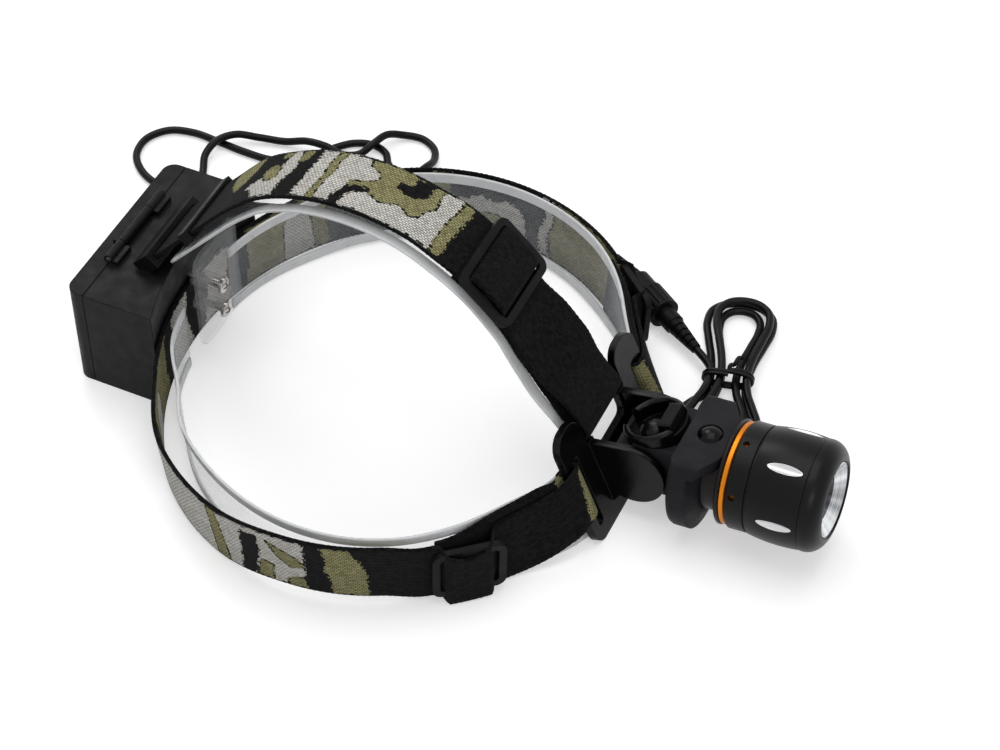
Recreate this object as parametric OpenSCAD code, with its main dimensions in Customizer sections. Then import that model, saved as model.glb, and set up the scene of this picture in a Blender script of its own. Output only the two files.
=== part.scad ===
// Strap-on focusing headlamp with a corded rear battery box.
// Frame: +X forward along the beam, +Y the wearer's left, +Z up, z = 0 is the surface it lies on.
// The origin is the middle of the head opening, on that surface. Lengths are millimetres.

/* [Head hoop] */
// Half length of the head opening, front to back
hoop_a = 87.5; // [82:0.5:94]
// Half width of the head opening
hoop_b = 97.5; // [92:0.5:104]
// Width of the elastic webbing
strap_w = 30; // [26:0.5:34]
// Thickness of the elastic webbing
strap_t = 1.6; // [1.2:0.1:2]
// Extra width of the clear grip liner, each side
liner_lip = 2; // [1:0.5:3]
// Thickness of the clear grip liner
liner_t = 1.2; // [0.8:0.1:1.6]

/* [Crown strap] */
// Height of the top of the crown strap
crown_z = 108.5; // [103:0.5:115]
// How far behind the middle the crown strap is highest
crown_back = 12; // [6:0.5:18]
// Radius of the crown strap in front of its top
crown_r_front = 77; // [70:0.5:82]
// Radius of the crown strap behind its top
crown_r_rear = 68; // [62:0.5:74]
// Angle of the straight run down to the lamp, from level
crown_dip_front = 50; // [46:0.5:54]
// Angle of the straight run down to the battery box, from level
crown_dip_rear = 48; // [44:0.5:52]

/* [Front bracket] */
// Angle by which the bracket plate leans back
plate_lean = 22; // [18:0.5:26]
// Distance of the foot of the plate from the origin
plate_x = 98; // [96:0.5:100]
// Thickness of the bracket plate
plate_t = 3; // [2.4:0.1:3.6]
// Half width of the bracket plate
plate_half = 33; // [31:0.5:36]
// Width of the strap slots in the plate
slot_w = 4; // [3:0.25:5]
// Thickness of the hinge cheeks
cheek_t = 3; // [2.4:0.1:3.6]
// Radius of the hinge cheeks round the tilt axis
cheek_r = 13; // [12:0.25:14]
// Radius of the rib along the edge of a cheek
rib_r = 1.5; // [1:0.1:2]

/* [Tilt hinge] */
// Distance of the tilt axis from the origin
pivot_x = 101.5; // [100:0.5:104]
// Height of the tilt axis
pivot_z = 23; // [23:0.25:25]
// Upward pitch of the lamp as it lies
lamp_pitch = 4.7; // [4:0.1:5]
// Half width of the tilting arm between the cheeks
arm_half = 12.1; // [11:0.1:13]
// Height of the flat top of the arm above the lamp axis
arm_top = 13.4; // [12:0.2:14.5]
// Radius of the tilt pin and bush seats
pin_r = 3; // [2.5:0.1:3.5]
// Outer radius of the cup on the arm
cup_r = 12; // [11:0.1:12]
// Wall of the cup
cup_wall = 2.8; // [2:0.1:3.2]
// Slope of the rim of the cup
cup_slope = 23; // [18:0.5:28]

/* [Lamp collar] */
// Outer radius of the collar
collar_r = 24.2; // [23.8:0.1:24.4]
// Distance of the back of the collar from the tilt axis
collar_back = 16.4; // [16.2:0.2:18]
// Length of the collar along the beam
collar_len = 16.7; // [15.7:0.2:17.7]
// Height of the flat top of the collar above the lamp axis
collar_flat = 16.3; // [15.6:0.1:17.5]
// Radius of the domed push button
button_r = 4.5; // [3.5:0.1:5]
// Travel of the push button
button_travel = 1; // [0.6:0.1:1.4]

/* [Lamp body] */
// Radius of the tail of the lamp inside the collar
tail_r = 14; // [13:0.1:14.4]
// Radius of the flange at the front of the tail
flange_r = 19.6; // [18.5:0.1:20]
// Radius of the gold anodised ring
gold_r = 19.2; // [18.6:0.1:19.6]
// Width of the gold anodised ring
gold_w = 2.4; // [1.8:0.1:3]
// Outer radius of the gold sleeve that the head slides on
sleeve_r = 17.9; // [17:0.1:18.2]
// Radius of the rear band of the focusing head
band_r = 20; // [19.8:0.1:20.6]
// Length of the rear band of the focusing head
band_len = 7; // [6:0.2:8]
// Largest radius of the bulged barrel
barrel_r = 21.2; // [21:0.1:22]
// Length of the bulged barrel
barrel_len = 19.9; // [18.9:0.2:21.9]
// Depth of the rounded bezel
bezel_len = 7.2; // [6.8:0.1:7.6]
// Radius of the bright rim in the bezel
rim_r = 13.9; // [13.2:0.1:14]
// Travel of the focusing head
focus_travel = 6; // [4:0.5:8]
// Number of scalloped flats round the barrel
flat_count = 6; // [5:1:8]

/* [Rear box] */
// Depth of the battery box
box_d = 30; // [29:0.5:34]
// Height of the battery box
box_h = 46; // [44.5:0.5:50]
// Wall of the battery box
box_wall = 2; // [1.6:0.1:2.4]
// Diameter of one cell
cell_d = 18.4; // [18:0.1:18.6]
// Length of one cell
cell_l = 65; // [64:0.5:66]

/* [Cord] */
// Diameter of the cord
cord_d = 3.2; // [3:0.1:3.4]
// Number of loops in the tied hank
hank_loops = 3; // [2:1:4]

/* [Hidden] */

$fn = 64;
soft_gap = 0.3;            // clearance of a soft piece from its neighbours
seat_gap = 0.05;           // clearance of a turned piece in its seat
slide_gap = 0.08;          // running clearance of the focusing head
cut = 60;                  // length of a cutter that only has to pass through
far_cut = 400;             // size of a half space
black = [0.07, 0.07, 0.08];
graphite = [0.24, 0.25, 0.27];
clear_pvc = [0.88, 0.9, 0.92, 0.5];
webbing = [0.16, 0.16, 0.15];
steel = [0.72, 0.73, 0.75];
brown_black = [0.16, 0.11, 0.1];

// ---------------------------------------------------------------- helpers

function unit(v) = v / norm(v);
function ease(t) = t <= 0 ? 0 : t >= 1 ? 1 : t * t * (3 - 2 * t);
function mix(a, b, t) = a + (b - a) * t;

// A closed solid through equal rings of points, with flat ends.
module loft(rings) {
    n = len(rings);
    m = len(rings[0]);
    sides = [
        for (i = [0 : n - 2]) for (k = [0 : m - 1])
        let (a = i * m + k, b = i * m + (k + 1) % m)
        each [[a, b, b + m], [a, b + m, a + m]]
    ];
    first = [for (k = [1 : m - 2]) [0, k + 1, k]];
    last = [for (k = [1 : m - 2]) [(n - 1) * m, (n - 1) * m + k, (n - 1) * m + k + 1]];
    polyhedron([for (ring = rings) each ring], concat(sides, first, last), convexity = 10);
}

// Tangent of a path at one of its points.
function heading(path, i) = unit(path[min(i + 1, len(path) - 1)] - path[max(i - 1, 0)]);

// A round ring of points square to a heading.
function ring_at(p, t, r, sides) =
    let (a = unit(cross([0, 0, 1], t)), b = cross(t, a))
    [for (k = [0 : sides - 1]) p + r * (cos(360 * k / sides) * a + sin(360 * k / sides) * b)];

module tube(path, r, sides) {
    loft([for (i = [0 : len(path) - 1]) ring_at(path[i], heading(path, i), r, sides)]);
}

// A square with round corners, from true arcs.
module round_rect(w, h, r) {
    square([w - 2 * r, h], center = true);
    square([w, h - 2 * r], center = true);
    for (x = [-1, 1]) for (y = [-1, 1]) translate([x * (w / 2 - r), y * (h / 2 - r)]) circle(r);
}

// ---------------------------------------------------------------- places

// Bracket plate: x is out of its front face, y is across, z is up along its slope.
module on_plate() {
    translate([plate_x, 0, 0]) rotate([0, -plate_lean, 0]) children();
}

// Lamp: z runs forward along the beam from the tilt axis, x is up, y is to the wearer's right.
module on_lamp() {
    translate([pivot_x, 0, pivot_z]) rotate([0, 90 - lamp_pitch, 0]) rotate([0, 0, 180]) children();
}

// The hoop, by the angle q round it from straight ahead.
hem_z = 0.5;               // height of the lower edge of the webbing
front_reach = 8;           // how far the hoop runs ahead of its oval near the bracket
side_flare = 6;            // outward lean of the webbing at the sides
slot_foot = 7;             // lower edge of the webbing in its slot, along the plate
slot_y = 26.5;             // middle of a strap slot from the middle of the plate
over_plate = strap_t / 2 + soft_gap;     // middle of the webbing from a face it lies on
under_plate = plate_t + 2 * over_plate;  // from the layer in front of the plate to the one behind
function from_front(q) = let (w = abs(q) % 360) min(w, 360 - w);
function flare(f) = mix(-plate_lean, side_flare, ease((f - 8) / 52)) * (1 - ease((f - 128) / 22));
function past_plate(q, run) = max(0, min(1, (abs(hoop_b * sin(q)) - plate_half - 0.5) / run));
function at_plate(q, run) = 1 - ease(past_plate(q, run));
function on_front(q) = from_front(q) < 70 ? pow(1 - past_plate(q, 26), 2) : 0;
function hoop_foot(q) =
    let (f = from_front(q), y = hoop_b * sin(q),
         x = hoop_a * cos(q) + front_reach * (1 - ease((f - 20) / 40)),
         held = plate_xz(over_plate, slot_foot))
    mix([x, y, hem_z], [held.x, y, held.y], on_front(q));
function hoop_up(q) =
    let (n = unit([cos(q) / hoop_a, sin(q) / hoop_b, 0]), a = flare(from_front(q)))
    unit(mix([n.x * sin(a), n.y * sin(a), cos(a)], [-lean_s, 0, lean_c], on_front(q)));
function hoop_out(q) = unit(cross(hoop_foot(q + 0.5) - hoop_foot(q - 0.5), hoop_up(q)));

// Cross section of a band: foot of its middle, direction up, direction out, width, thickness.
function section(foot, up, out, w, t) =
    [foot - out * t / 2, foot + out * t / 2, foot + up * w + out * t / 2, foot + up * w - out * t / 2];
function band_section(q, inset, rise, w, t) =
    section(hoop_foot(q) - inset * hoop_out(q) + rise * hoop_up(q), hoop_up(q), hoop_out(q), w, t);

// Section of webbing beside the plate: depth in front of its face, y across, turned by an angle.
function slot_section(x, y, turn, w) =
    let (c = plate_xz(x, slot_foot), side = y > 0 ? 1 : -1, up = [-lean_s, 0, lean_c])
    section([c.x, y, c.y], up,
        [lean_c * cos(turn), -side * sin(turn), lean_s * cos(turn)], w, strap_t);

// A frame on the middle of the webbing at angle q: x along the strap, y up its width, z out.
module on_hoop(q) {
    u = hoop_up(q);
    n = hoop_out(q);
    a = cross(u, n);
    c = hoop_foot(q) + strap_w / 2 * u;
    multmatrix([[a.x, u.x, n.x, c.x], [a.y, u.y, n.y, c.y], [a.z, u.z, n.z, c.z], [0, 0, 0, 1]])
        children();
}

// The crown strap runs straight, over two arcs and straight again, all square to Y.
// The crown line by its angle from the top, positive to the front, and the straight run past it.
function crown_mid(a, run) =
    let (r = a >= 0 ? crown_r_front : crown_r_rear, ahead = a >= 0 ? 1 : -1)
    [-crown_back + r * sin(a) + ahead * run * cos(a), 0,
     crown_z - r * (1 - cos(a)) - run * sin(abs(a))];
function crown_up(a) = [sin(a), 0, cos(a)];
function crown_section(a, run, inset, w, t) =
    let (c = crown_mid(a, run) - inset * crown_up(a), u = t / 2 * crown_up(a), v = [0, w / 2, 0])
    [c - u - v, c + u - v, c + u + v, c - u + v];

// ---------------------------------------------------------------- derived sizes

lean_c = cos(plate_lean);
lean_s = sin(plate_lean);
function plate_xz(x, l) = [plate_x + x * lean_c - l * lean_s, x * lean_s + l * lean_c];

bar_r = 2;                 // round bar that the crown strap wraps
bar_l = 39.6;              // height of that bar along the plate
bar_x = -2.6;              // depth of that bar behind the front face
bar_xz = plate_xz(bar_x, bar_l);
crown_start = crown_mid(crown_dip_front, 0);    // end of the front arc
// Distance of the middle of the strap from the middle of the bar it wraps
wrap_r = (crown_start.x - bar_xz.x) * sin(crown_dip_front)
    + (crown_start.z - bar_xz.y) * cos(crown_dip_front);
wrap_run = (bar_xz.x - crown_start.x) * cos(crown_dip_front)
    - (bar_xz.y - crown_start.z) * sin(crown_dip_front);

fold_inset = strap_t + soft_gap;               // inner layer of a folded strap
liner_inset = fold_inset + strap_t / 2 + soft_gap + liner_t / 2 + 1;
edge_q = asin((plate_half + 0.5) / hoop_b);    // angle of the outer edge of the plate
buckle_q = 46.5;                               // angle of the side buckles
liner_end_q = 169.5;                             // angle at which the liner ends under the rear plate

// Lamp stations along the beam, from the tilt axis.
tail_front = collar_back + collar_len + 0.2;
flange_len = 1.5;
waist_r = tail_r + 1.5;                        // tail in front of the collar
waist_z = collar_back + 8.6;
gold_z = tail_front + flange_len + seat_gap;
head_z = gold_z + gold_w + soft_gap;
groove_w = 0.9;
barrel_z = head_z + band_len + groove_w;
bezel_z = barrel_z + barrel_len;
front_z = bezel_z + bezel_len;
bezel_gap = 0.2;
bulge_z = barrel_z + barrel_len / 2 + 1.3;     // fullest place of the barrel
skirt_r = sleeve_r;                            // skirt of the bezel inside the barrel
skirt_back = bezel_z - 7.8;
pocket_r = rim_r + 1;                          // pocket for the lens parts in the bezel
lens_back = front_z - 10.8;
rim_z = front_z - 0.6;                         // front of the bright rim
lens_flange = 2;
dome_r = 11.5;                                 // foot of the lens dome
dome_rise = 4.4;                               // height of the lens dome
mouth_r = 9.2;                                 // narrow end of the bright cone
neck_r = 16.3;                                 // threaded neck of the tail
neck_front = tail_front + flange_len + 7.8;
sleeve_front = gold_z + 11.7 + focus_travel;
switch_z = 25.1;                               // station of the push button

// Rear stations.
box_w = cell_l + 2 * box_wall + 9;             // cells, springs, contacts and board between the walls
rear_bend = hoop_b * hoop_b / hoop_a;          // radius of the hoop at the back
rear_x = -hoop_a + rear_bend;                  // middle of that bend
box_bend = rear_bend + strap_t / 2 + soft_gap; // front of the battery box
box_front = rear_x - box_bend;
box_back = box_front - box_d;
lid_depth = 8;
lid_gap = 0.3;
part_x = box_back + lid_depth;                 // parting plane of the lid
cell_gap = 0.2;
cell_x = part_x + 7.5;                         // middle of the cells
cell_z = [box_wall + cell_gap + cell_d / 2, box_wall + 2 * cell_gap + 1.5 * cell_d + 1];
room_half = box_w / 2 - box_wall;              // half width of the room for the cells
spring_len = 2.8;
contact_t = 0.4;
lid_axis_z = box_h + 2.2;
lid_knuckle_r = 1.9;
plate_rear_x = -77;                            // back face of the clear plate
plate_rear_t = 1.6;
screw_z = [19, 32];
screw_r = 1.5;
screw_head_r = 3.1;

// ---------------------------------------------------------------- soft parts

corner_y = slot_y + slot_w / 2;                // inner edge of the bar the webbing turns over
turn_y = corner_y - over_plate;
half_turn = over_plate * cos(45);
// From the slot over the front of the outer bar, and the same behind it.
function slot_front(side, w) = [
    slot_section(-plate_t / 2, side * turn_y, 90, w),
    slot_section(0, side * turn_y, 90, w),
    slot_section(half_turn, side * (corner_y - half_turn), 45, w),
    slot_section(over_plate, side * corner_y, 0, w)
];
function slot_back(side, w) = [
    slot_section(-plate_t / 2 - seat_gap, side * turn_y, 90, w),
    slot_section(-plate_t, side * turn_y, 90, w),
    slot_section(-plate_t - half_turn, side * (corner_y - half_turn), 135, w),
    slot_section(-plate_t - over_plate, side * corner_y, 180, w)
];
function reversed(list) = [for (i = [len(list) - 1 : -1 : 0]) list[i]];
function turned_round(ring) = [ring[1], ring[0], ring[3], ring[2]];

module side_strap() color(webbing) difference() {
    loft(concat(
        slot_front(1, strap_w),
        [for (i = [0 : 114]) band_section(mix(edge_q - 0.6, 360 - edge_q + 0.6, i / 114),
            0, 0, strap_w, strap_t)],
        reversed(slot_front(-1, strap_w))
    ));
    for (z = screw_z) translate([-hoop_a - 6, 0, z]) rotate([0, 90, 0]) cylinder(r = 2.2, h = 12);
}

// The inner layer of a folded strap, from the slot to the buckle.
function fold_gap(q) = mix(fold_inset + 0.3, under_plate, at_plate(q, 9));
module folded(side) loft(concat(
    [for (ring = slot_back(side, strap_w - 1)) turned_round(ring)],
    [for (i = [0 : 12]) let (q = side * mix(edge_q - 0.6, buckle_q - 2, i / 12))
        band_section(q, fold_gap(q), 0, strap_w - 1, strap_t)]
));
module near_fold() color(webbing) folded(-1);
module far_fold() color(webbing) folded(1);

rear_strap_run = (crown_mid(-crown_dip_rear, 0).z - box_h - 1.5) / sin(crown_dip_rear);
// Section of the crown strap where it wraps the bar, by the angle of its outward direction.
function wrap_section(turn) =
    let (o = [cos(turn), 0, sin(turn)], c = [bar_xz.x, 0, bar_xz.y] + wrap_r * o, v = [0, strap_w / 2, 0])
    [c - strap_t / 2 * o - v, c + strap_t / 2 * o - v, c + strap_t / 2 * o + v, c - strap_t / 2 * o + v];
module crown_strap() color(webbing) loft([
    for (i = [0 : 7]) wrap_section(mix(-90 - crown_dip_front, 90 - crown_dip_front, i / 8)),
    crown_section(crown_dip_front, wrap_run, 0, strap_w, strap_t),
    for (i = [0 : 18]) crown_section(mix(crown_dip_front, 0, i / 18), 0, 0, strap_w, strap_t),
    for (i = [1 : 16]) crown_section(mix(0, -crown_dip_rear, i / 16), 0, 0, strap_w, strap_t),
    crown_section(-crown_dip_rear, rear_strap_run, 0, strap_w, strap_t)
]);

module crown_fold() color(webbing) loft([
    crown_section(crown_dip_front, wrap_run, 2 * wrap_r, strap_w, strap_t),
    crown_section(crown_dip_front, wrap_run - 5, 2 * wrap_r - 0.3, strap_w, strap_t),
    crown_section(crown_dip_front, 26, fold_inset + 0.6, strap_w - 1, strap_t),
    crown_section(crown_dip_front, 3, fold_inset, strap_w - 1, strap_t)
]);

liner_behind = under_plate + strap_t + soft_gap;    // depth of the liner behind the bracket
function liner_gap(q) =
    let (f = from_front(q), slack = q < 0 ? 5 : 1.5)
    mix(liner_inset, liner_behind, f < 60 ? at_plate(q, 14) : 0)
        + slack * ease((f - 60) / 60) * (1 - ease((f - 140) / 22));
liner_low = 4.7;           // how far the liner lies below the webbing behind the bracket
module side_liner() color(clear_pvc) loft([
    for (i = [0 : 72]) let (q = mix(-liner_end_q, liner_end_q, i / 72))
        band_section(q, liner_gap(q), -liner_low * on_front(q), strap_w + liner_lip, liner_t)
]);

liner_front_inset = 2 * wrap_r + strap_t / 2 + soft_gap + liner_t / 2;
module crown_liner() color(clear_pvc) loft([
    crown_section(crown_dip_front, wrap_run - 2, liner_front_inset, strap_w + 2 * liner_lip, liner_t),
    crown_section(crown_dip_front, wrap_run - 14, liner_front_inset, strap_w + 2 * liner_lip, liner_t),
    crown_section(crown_dip_front, 20, liner_inset + 1.2, strap_w + 2 * liner_lip, liner_t),
    for (i = [0 : 18]) crown_section(mix(crown_dip_front, -crown_dip_rear, i / 18), 0, liner_inset,
        strap_w + 2 * liner_lip, liner_t),
    crown_section(-crown_dip_rear, 38, liner_inset, strap_w + 2 * liner_lip, liner_t)
]);

// ---------------------------------------------------------------- buckles

buckle_t = 2.4;
buckle_bar = 3;
module slide_frame(along, across) {
    lift = strap_t / 2 + soft_gap;
    translate([0, 0, lift]) linear_extrude(buckle_t) difference() {
        round_rect(along, across, 4);
        for (x = [-1, 1]) translate([x * (along / 4 - buckle_bar / 4 + 0.2), 0])
            round_rect(along / 2 - 1.5 * buckle_bar, across - 2 * buckle_bar, 1.5);
    }
}
side_lift = 0.6;           // further out at the sides, where the webbing twists
side_roll = 1.3;           // and turned with that twist
module side_buckle(q) on_hoop(q) translate([0, 0, side_lift]) rotate([side_roll, 0, 0])
    slide_frame(27, strap_w - 6);
module near_buckle() color(black) side_buckle(-buckle_q);
module far_buckle() color(black) side_buckle(buckle_q);
module crown_buckle() color(black) {
    dip = crown_dip_front - 5.5;
    translate(crown_mid(dip, 0)) rotate([0, dip, 0]) slide_frame(26, strap_w + 6);
}

// ---------------------------------------------------------------- front bracket

cheek_in = arm_half + 0.4;
root_top = 35.4;           // where the top of a cheek meets the plate
root_low = 6;              // where the bottom of a cheek meets the plate
window_half = 11.5;
module panel(t) rotate([90, 0, 90]) linear_extrude(t) children();

module plate_outline() difference() {
    union() {
        translate([0, 20]) round_rect(2 * plate_half, 40, 6);
        for (y = [-1, 1]) translate([y * (plate_half - 8.5), 38]) round_rect(17, 24, 7);
        translate([-plate_half + 10, 24]) square([2 * plate_half - 20, bar_l - 24]);
    }
    for (y = [-1, 1]) translate([y * slot_y, slot_foot + strap_w / 2])
        round_rect(slot_w, strap_w + 1.6, 1.5);
    translate([-strap_w / 2 - 1.2, root_top]) square([strap_w + 2.4, cut]);
    translate([0, root_top - 4]) round_rect(2 * window_half, 9, 3);
    translate([-window_half, root_top - 4]) square([2 * window_half, cut]);
}

module cheek_outline() {
    circle(cheek_r);
    top = [pivot_x + cheek_r * cos(100), pivot_z + cheek_r * sin(100)];
    low = [pivot_x + cheek_r * cos(-105), pivot_z + cheek_r * sin(-105)];
    translate([-pivot_x, -pivot_z])
        polygon([plate_xz(-1, root_top), top, [pivot_x, pivot_z], low, plate_xz(-1, root_low)]);
}

module cheek_rib() {
    root = plate_xz(-1, root_top - rib_r);
    reach_r = cheek_r - rib_r + 0.2;
    top = [pivot_x + reach_r * cos(100), pivot_z + reach_r * sin(100)];
    run = top - root;
    translate([pivot_x, 0, pivot_z]) rotate([90, 0, 0]) rotate([0, 0, -70])
        rotate_extrude(angle = 170) translate([reach_r, 0]) circle(rib_r);
    translate([root.x, 0, root.y]) rotate([0, 90 - atan2(run.y, run.x), 0])
        cylinder(r = rib_r, h = norm(run));
    translate([top.x, 0, top.y]) sphere(rib_r);
}

module front_bracket() color(black) difference() {
    union() {
        on_plate() translate([-plate_t, 0, 0]) panel(plate_t) plate_outline();
        on_plate() translate([bar_x, strap_w / 2 + 3, bar_l]) rotate([90, 0, 0])
            cylinder(r = bar_r, h = strap_w + 6);
        for (y = [-cheek_in, cheek_in + cheek_t])
            translate([pivot_x, y, pivot_z]) rotate([90, 0, 0]) linear_extrude(cheek_t) cheek_outline();
        for (y = [-1, 1]) translate([0, y * (cheek_in + rib_r), 0]) cheek_rib();
    }
    translate([pivot_x, cheek_in + cut / 2, pivot_z]) rotate([90, 0, 0])
        cylinder(r = pin_r + seat_gap, h = cheek_in + cut / 2);
    translate([pivot_x, 0, pivot_z]) rotate([90, 0, 0])
        cylinder(r = pin_r + seat_gap, h = cheek_in + cheek_t - 1);
    translate([0, 0, -far_cut / 2]) cube(far_cut, center = true);
}

module pivot_pin() color(steel) translate([pivot_x, -cheek_in - cheek_t + 1.1, pivot_z])
    rotate([-90, 0, 0]) cylinder(r = pin_r, h = 10);

module pivot_bush() color(steel) translate([pivot_x, cheek_in + cheek_t, pivot_z])
    rotate([90, 0, 0]) difference() {
        cylinder(r = pin_r, h = 11);
        translate([0, 0, -1]) cylinder(r = cord_d / 2 + 0.3, h = 13);
    }

// A strain relief: a tapered sleeve with grooves, z along the cord, its tip at z = l.
module relief_sleeve(r0, r1, l, rings) {
    difference() {
        cylinder(r1 = r0, r2 = r1, h = l);
        for (i = [1 : rings]) translate([0, 0, l * i / (rings + 1)]) difference() {
            cylinder(r = r0 + 1, h = 0.9, center = true);
            cylinder(r = mix(r0, r1, i / (rings + 1)) - 0.6, h = 1, center = true);
        }
    }
}

relief_l = 9;
relief_y = cheek_in + cheek_t + 1.8;
relief_tip = [pivot_x, relief_y + relief_l * cos(45), pivot_z - 1 - relief_l * sin(45)];
module cord_relief() color(black) difference() {
    union() {
        translate([pivot_x, relief_y, pivot_z]) rotate([90, 0, 0]) cylinder(r = 4.4, h = 4);
        translate([pivot_x, relief_y, pivot_z - 1]) sphere(3.3);
        translate([pivot_x, relief_y, pivot_z - 1]) rotate([-135, 0, 0])
            relief_sleeve(2.9, cord_d / 2 + 0.5, relief_l, 3);
    }
    translate([0, cheek_in + cheek_t + seat_gap - far_cut, -far_cut / 2]) cube(far_cut);
}

// ---------------------------------------------------------------- tilting arm and collar

cup_fwd = 3.2;             // middle of the rim of the cup, along the beam
cup_up = 16.8;             // and above it
cup_depth = 8;
knuckle_r = 10.5;
module on_cup() on_lamp() translate([cup_up, 0, cup_fwd])
    rotate([0, 90 + cup_slope - lamp_pitch, 0]) rotate([0, 0, 180]) children();

ridge_z = collar_back + 7.4;     // front edge of the full collar
roof_t = 4;                // thickness of the flat top where it runs on to the ring
soft_r = 3;                // radius of the corners beside the flat top
module collar_body() rotate_extrude($fn = 128) polygon([
    [0, collar_back], [collar_r - 1.8, collar_back], [collar_r - 0.5, collar_back + 0.6],
    [collar_r, collar_back + 1.8], [collar_r, ridge_z], [collar_r - 3.6, ridge_z + 1.2],
    [waist_r + 1.6, ridge_z + 2.8], [0, ridge_z + 2.8]
]);
module roof_outline() {
    tip = collar_back + collar_len;
    polygon([[-collar_r, collar_back + 1.8], [-collar_r, ridge_z], [-12, tip - 1.5], [-9, tip],
             [9, tip], [12, tip - 1.5], [collar_r, ridge_z], [collar_r, collar_back + 1.8]]);
}
// The collar seen along the beam: a circle with a flat top and rounded corners beside it.
module collar_section() {
    side_y = sqrt(pow(collar_r - soft_r, 2) - pow(collar_flat - soft_r, 2));
    side = collar_r / (collar_r - soft_r) * [collar_flat - soft_r, side_y];
    far = [2 * side.x, 2 * side.y];
    difference() {
        circle(collar_r, $fn = 128);
        polygon([[0, 0], far, [far.x, -far.y]]);
    }
    polygon([[0, 0], [collar_flat - soft_r, side_y], [collar_flat, side_y],
             [collar_flat, -side_y], [collar_flat - soft_r, -side_y]]);
    for (y = [-side_y, side_y]) translate([collar_flat - soft_r, y]) circle(soft_r);
}
module lamp_cradle() color(graphite) difference() {
    union() {
        on_lamp() intersection() {
            linear_extrude(cut) collar_section();
            union() {
                collar_body();
                translate([collar_flat - roof_t, 0, 0]) panel(cut) roof_outline();
            }
        }
        on_lamp() translate([-9, -arm_half, 0])
            cube([9 + arm_top, 2 * arm_half, collar_back + 1]);
        on_lamp() rotate([90, 0, 0]) cylinder(r = knuckle_r, h = 2 * arm_half, center = true);
    }
    on_lamp() translate([0, 0, collar_back + 1.5]) cylinder(r = tail_r + seat_gap, h = cut);
    on_lamp() translate([0, 0, waist_z - seat_gap]) cylinder(r = waist_r + seat_gap, h = cut);
    on_lamp() rotate([90, 0, 0]) cylinder(r = pin_r + 0.06, h = cut, center = true);
    on_lamp() translate([0, 0, switch_z]) rotate([0, 90, 0])
        cylinder(r = button_r + 0.15, h = cut);
    on_lamp() translate([0, 0, switch_z]) rotate([0, 90, 0])
        cylinder(r = button_r + 0.9, h = collar_flat - 1.6);
    on_cup() translate([0, 0, -cup_depth]) cylinder(r = cup_r + seat_gap, h = cut);
}

latch_w = 12;
latch_l = 5.2;
latch_x = 4.6;             // rear edge of the ribbed tab, ahead of the middle of the cup
latch_travel = 1.2;
module hinge_cup() color(black) on_cup() difference() {
    rotate_extrude() {
        translate([0, -cup_depth]) square([cup_r, 2]);
        translate([cup_r - cup_wall, -cup_depth]) square([cup_wall, cup_depth - cup_wall / 2]);
        translate([cup_r - cup_wall / 2, -cup_wall / 2]) circle(cup_wall / 2);
    }
    translate([latch_x - latch_travel - 0.2, -latch_w / 2 - 0.3, -2.8]) cube([20, latch_w + 0.6, 9]);
    translate([-20, -4, -cup_depth + 2]) cube([20, 8, 9]);
}

module cup_cap() color(black) on_cup() translate([-2, 0, -cup_depth + 2 + seat_gap]) {
    cylinder(r = 5, h = 1.4);
    intersection() {
        translate([0, 0, 3.6 - 6.7]) sphere(6.7);
        translate([0, 0, 1]) cylinder(r = 5, h = 5);
    }
}

module tilt_latch() color(black) on_cup() {
    translate([latch_x, -latch_w / 2, -2.5]) cube([latch_l, latch_w, 4]);
    for (i = [0 : 5]) translate([latch_x + 0.5 + i * 0.84, latch_w / 2 - 0.6, 1.5])
        rotate([90, 0, 0]) cylinder(r = 0.3, h = latch_w - 1.2, $fn = 16);
    translate([latch_x, -3, -5.4]) cube([1.6, 6, 3]);
}

module latch_spring() color(steel) on_cup() translate([latch_x + 1.7, 0, -4.2])
    rotate([0, 90, 0]) difference() {
        cylinder(r = 1.1, h = 2.6);
        translate([0, 0, -1]) cylinder(r = 0.7, h = 5);
    }

// ---------------------------------------------------------------- switch

flange_up = collar_flat - 2.5 - button_travel;
module on_switch() on_lamp() translate([0, 0, switch_z]) rotate([0, 90, 0]) children();
module push_button() color(black) on_switch() {
    translate([0, 0, flange_up]) cylinder(r = button_r + 0.6, h = 1);
    translate([0, 0, flange_up]) cylinder(r = button_r, h = 3.2);
    intersection() {
        translate([0, 0, flange_up + 5.2 - 6.06]) sphere(6.06);
        translate([0, 0, flange_up + 3]) cylinder(r = button_r, h = 4);
    }
}
board_up = 4.5;
board_t = 1;
switch_h = 3.4;
module driver_board() color([0.1, 0.35, 0.2]) on_lamp()
    translate([board_up - board_t, -8, tail_back + 2.2]) cube([board_t, 16, 15.6]);
module switch_body() color(black) on_switch() translate([0, 0, board_up + seat_gap]) {
    translate([-3, -3, 0]) cube([6, 6, switch_h]);
    translate([0, 0, switch_h]) cylinder(r = 1.6, h = 0.6);
}
module button_spring() color(steel) on_switch() difference() {
    base = board_up + seat_gap;
    translate([0, 0, base]) cylinder(r = 4.65, h = flange_up - seat_gap - base);
    translate([0, 0, base - 1]) cylinder(r = 4.35, h = cut);
}

// ---------------------------------------------------------------- lamp body

module turned(points) on_lamp() rotate_extrude($fn = 128) polygon(points);

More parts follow.
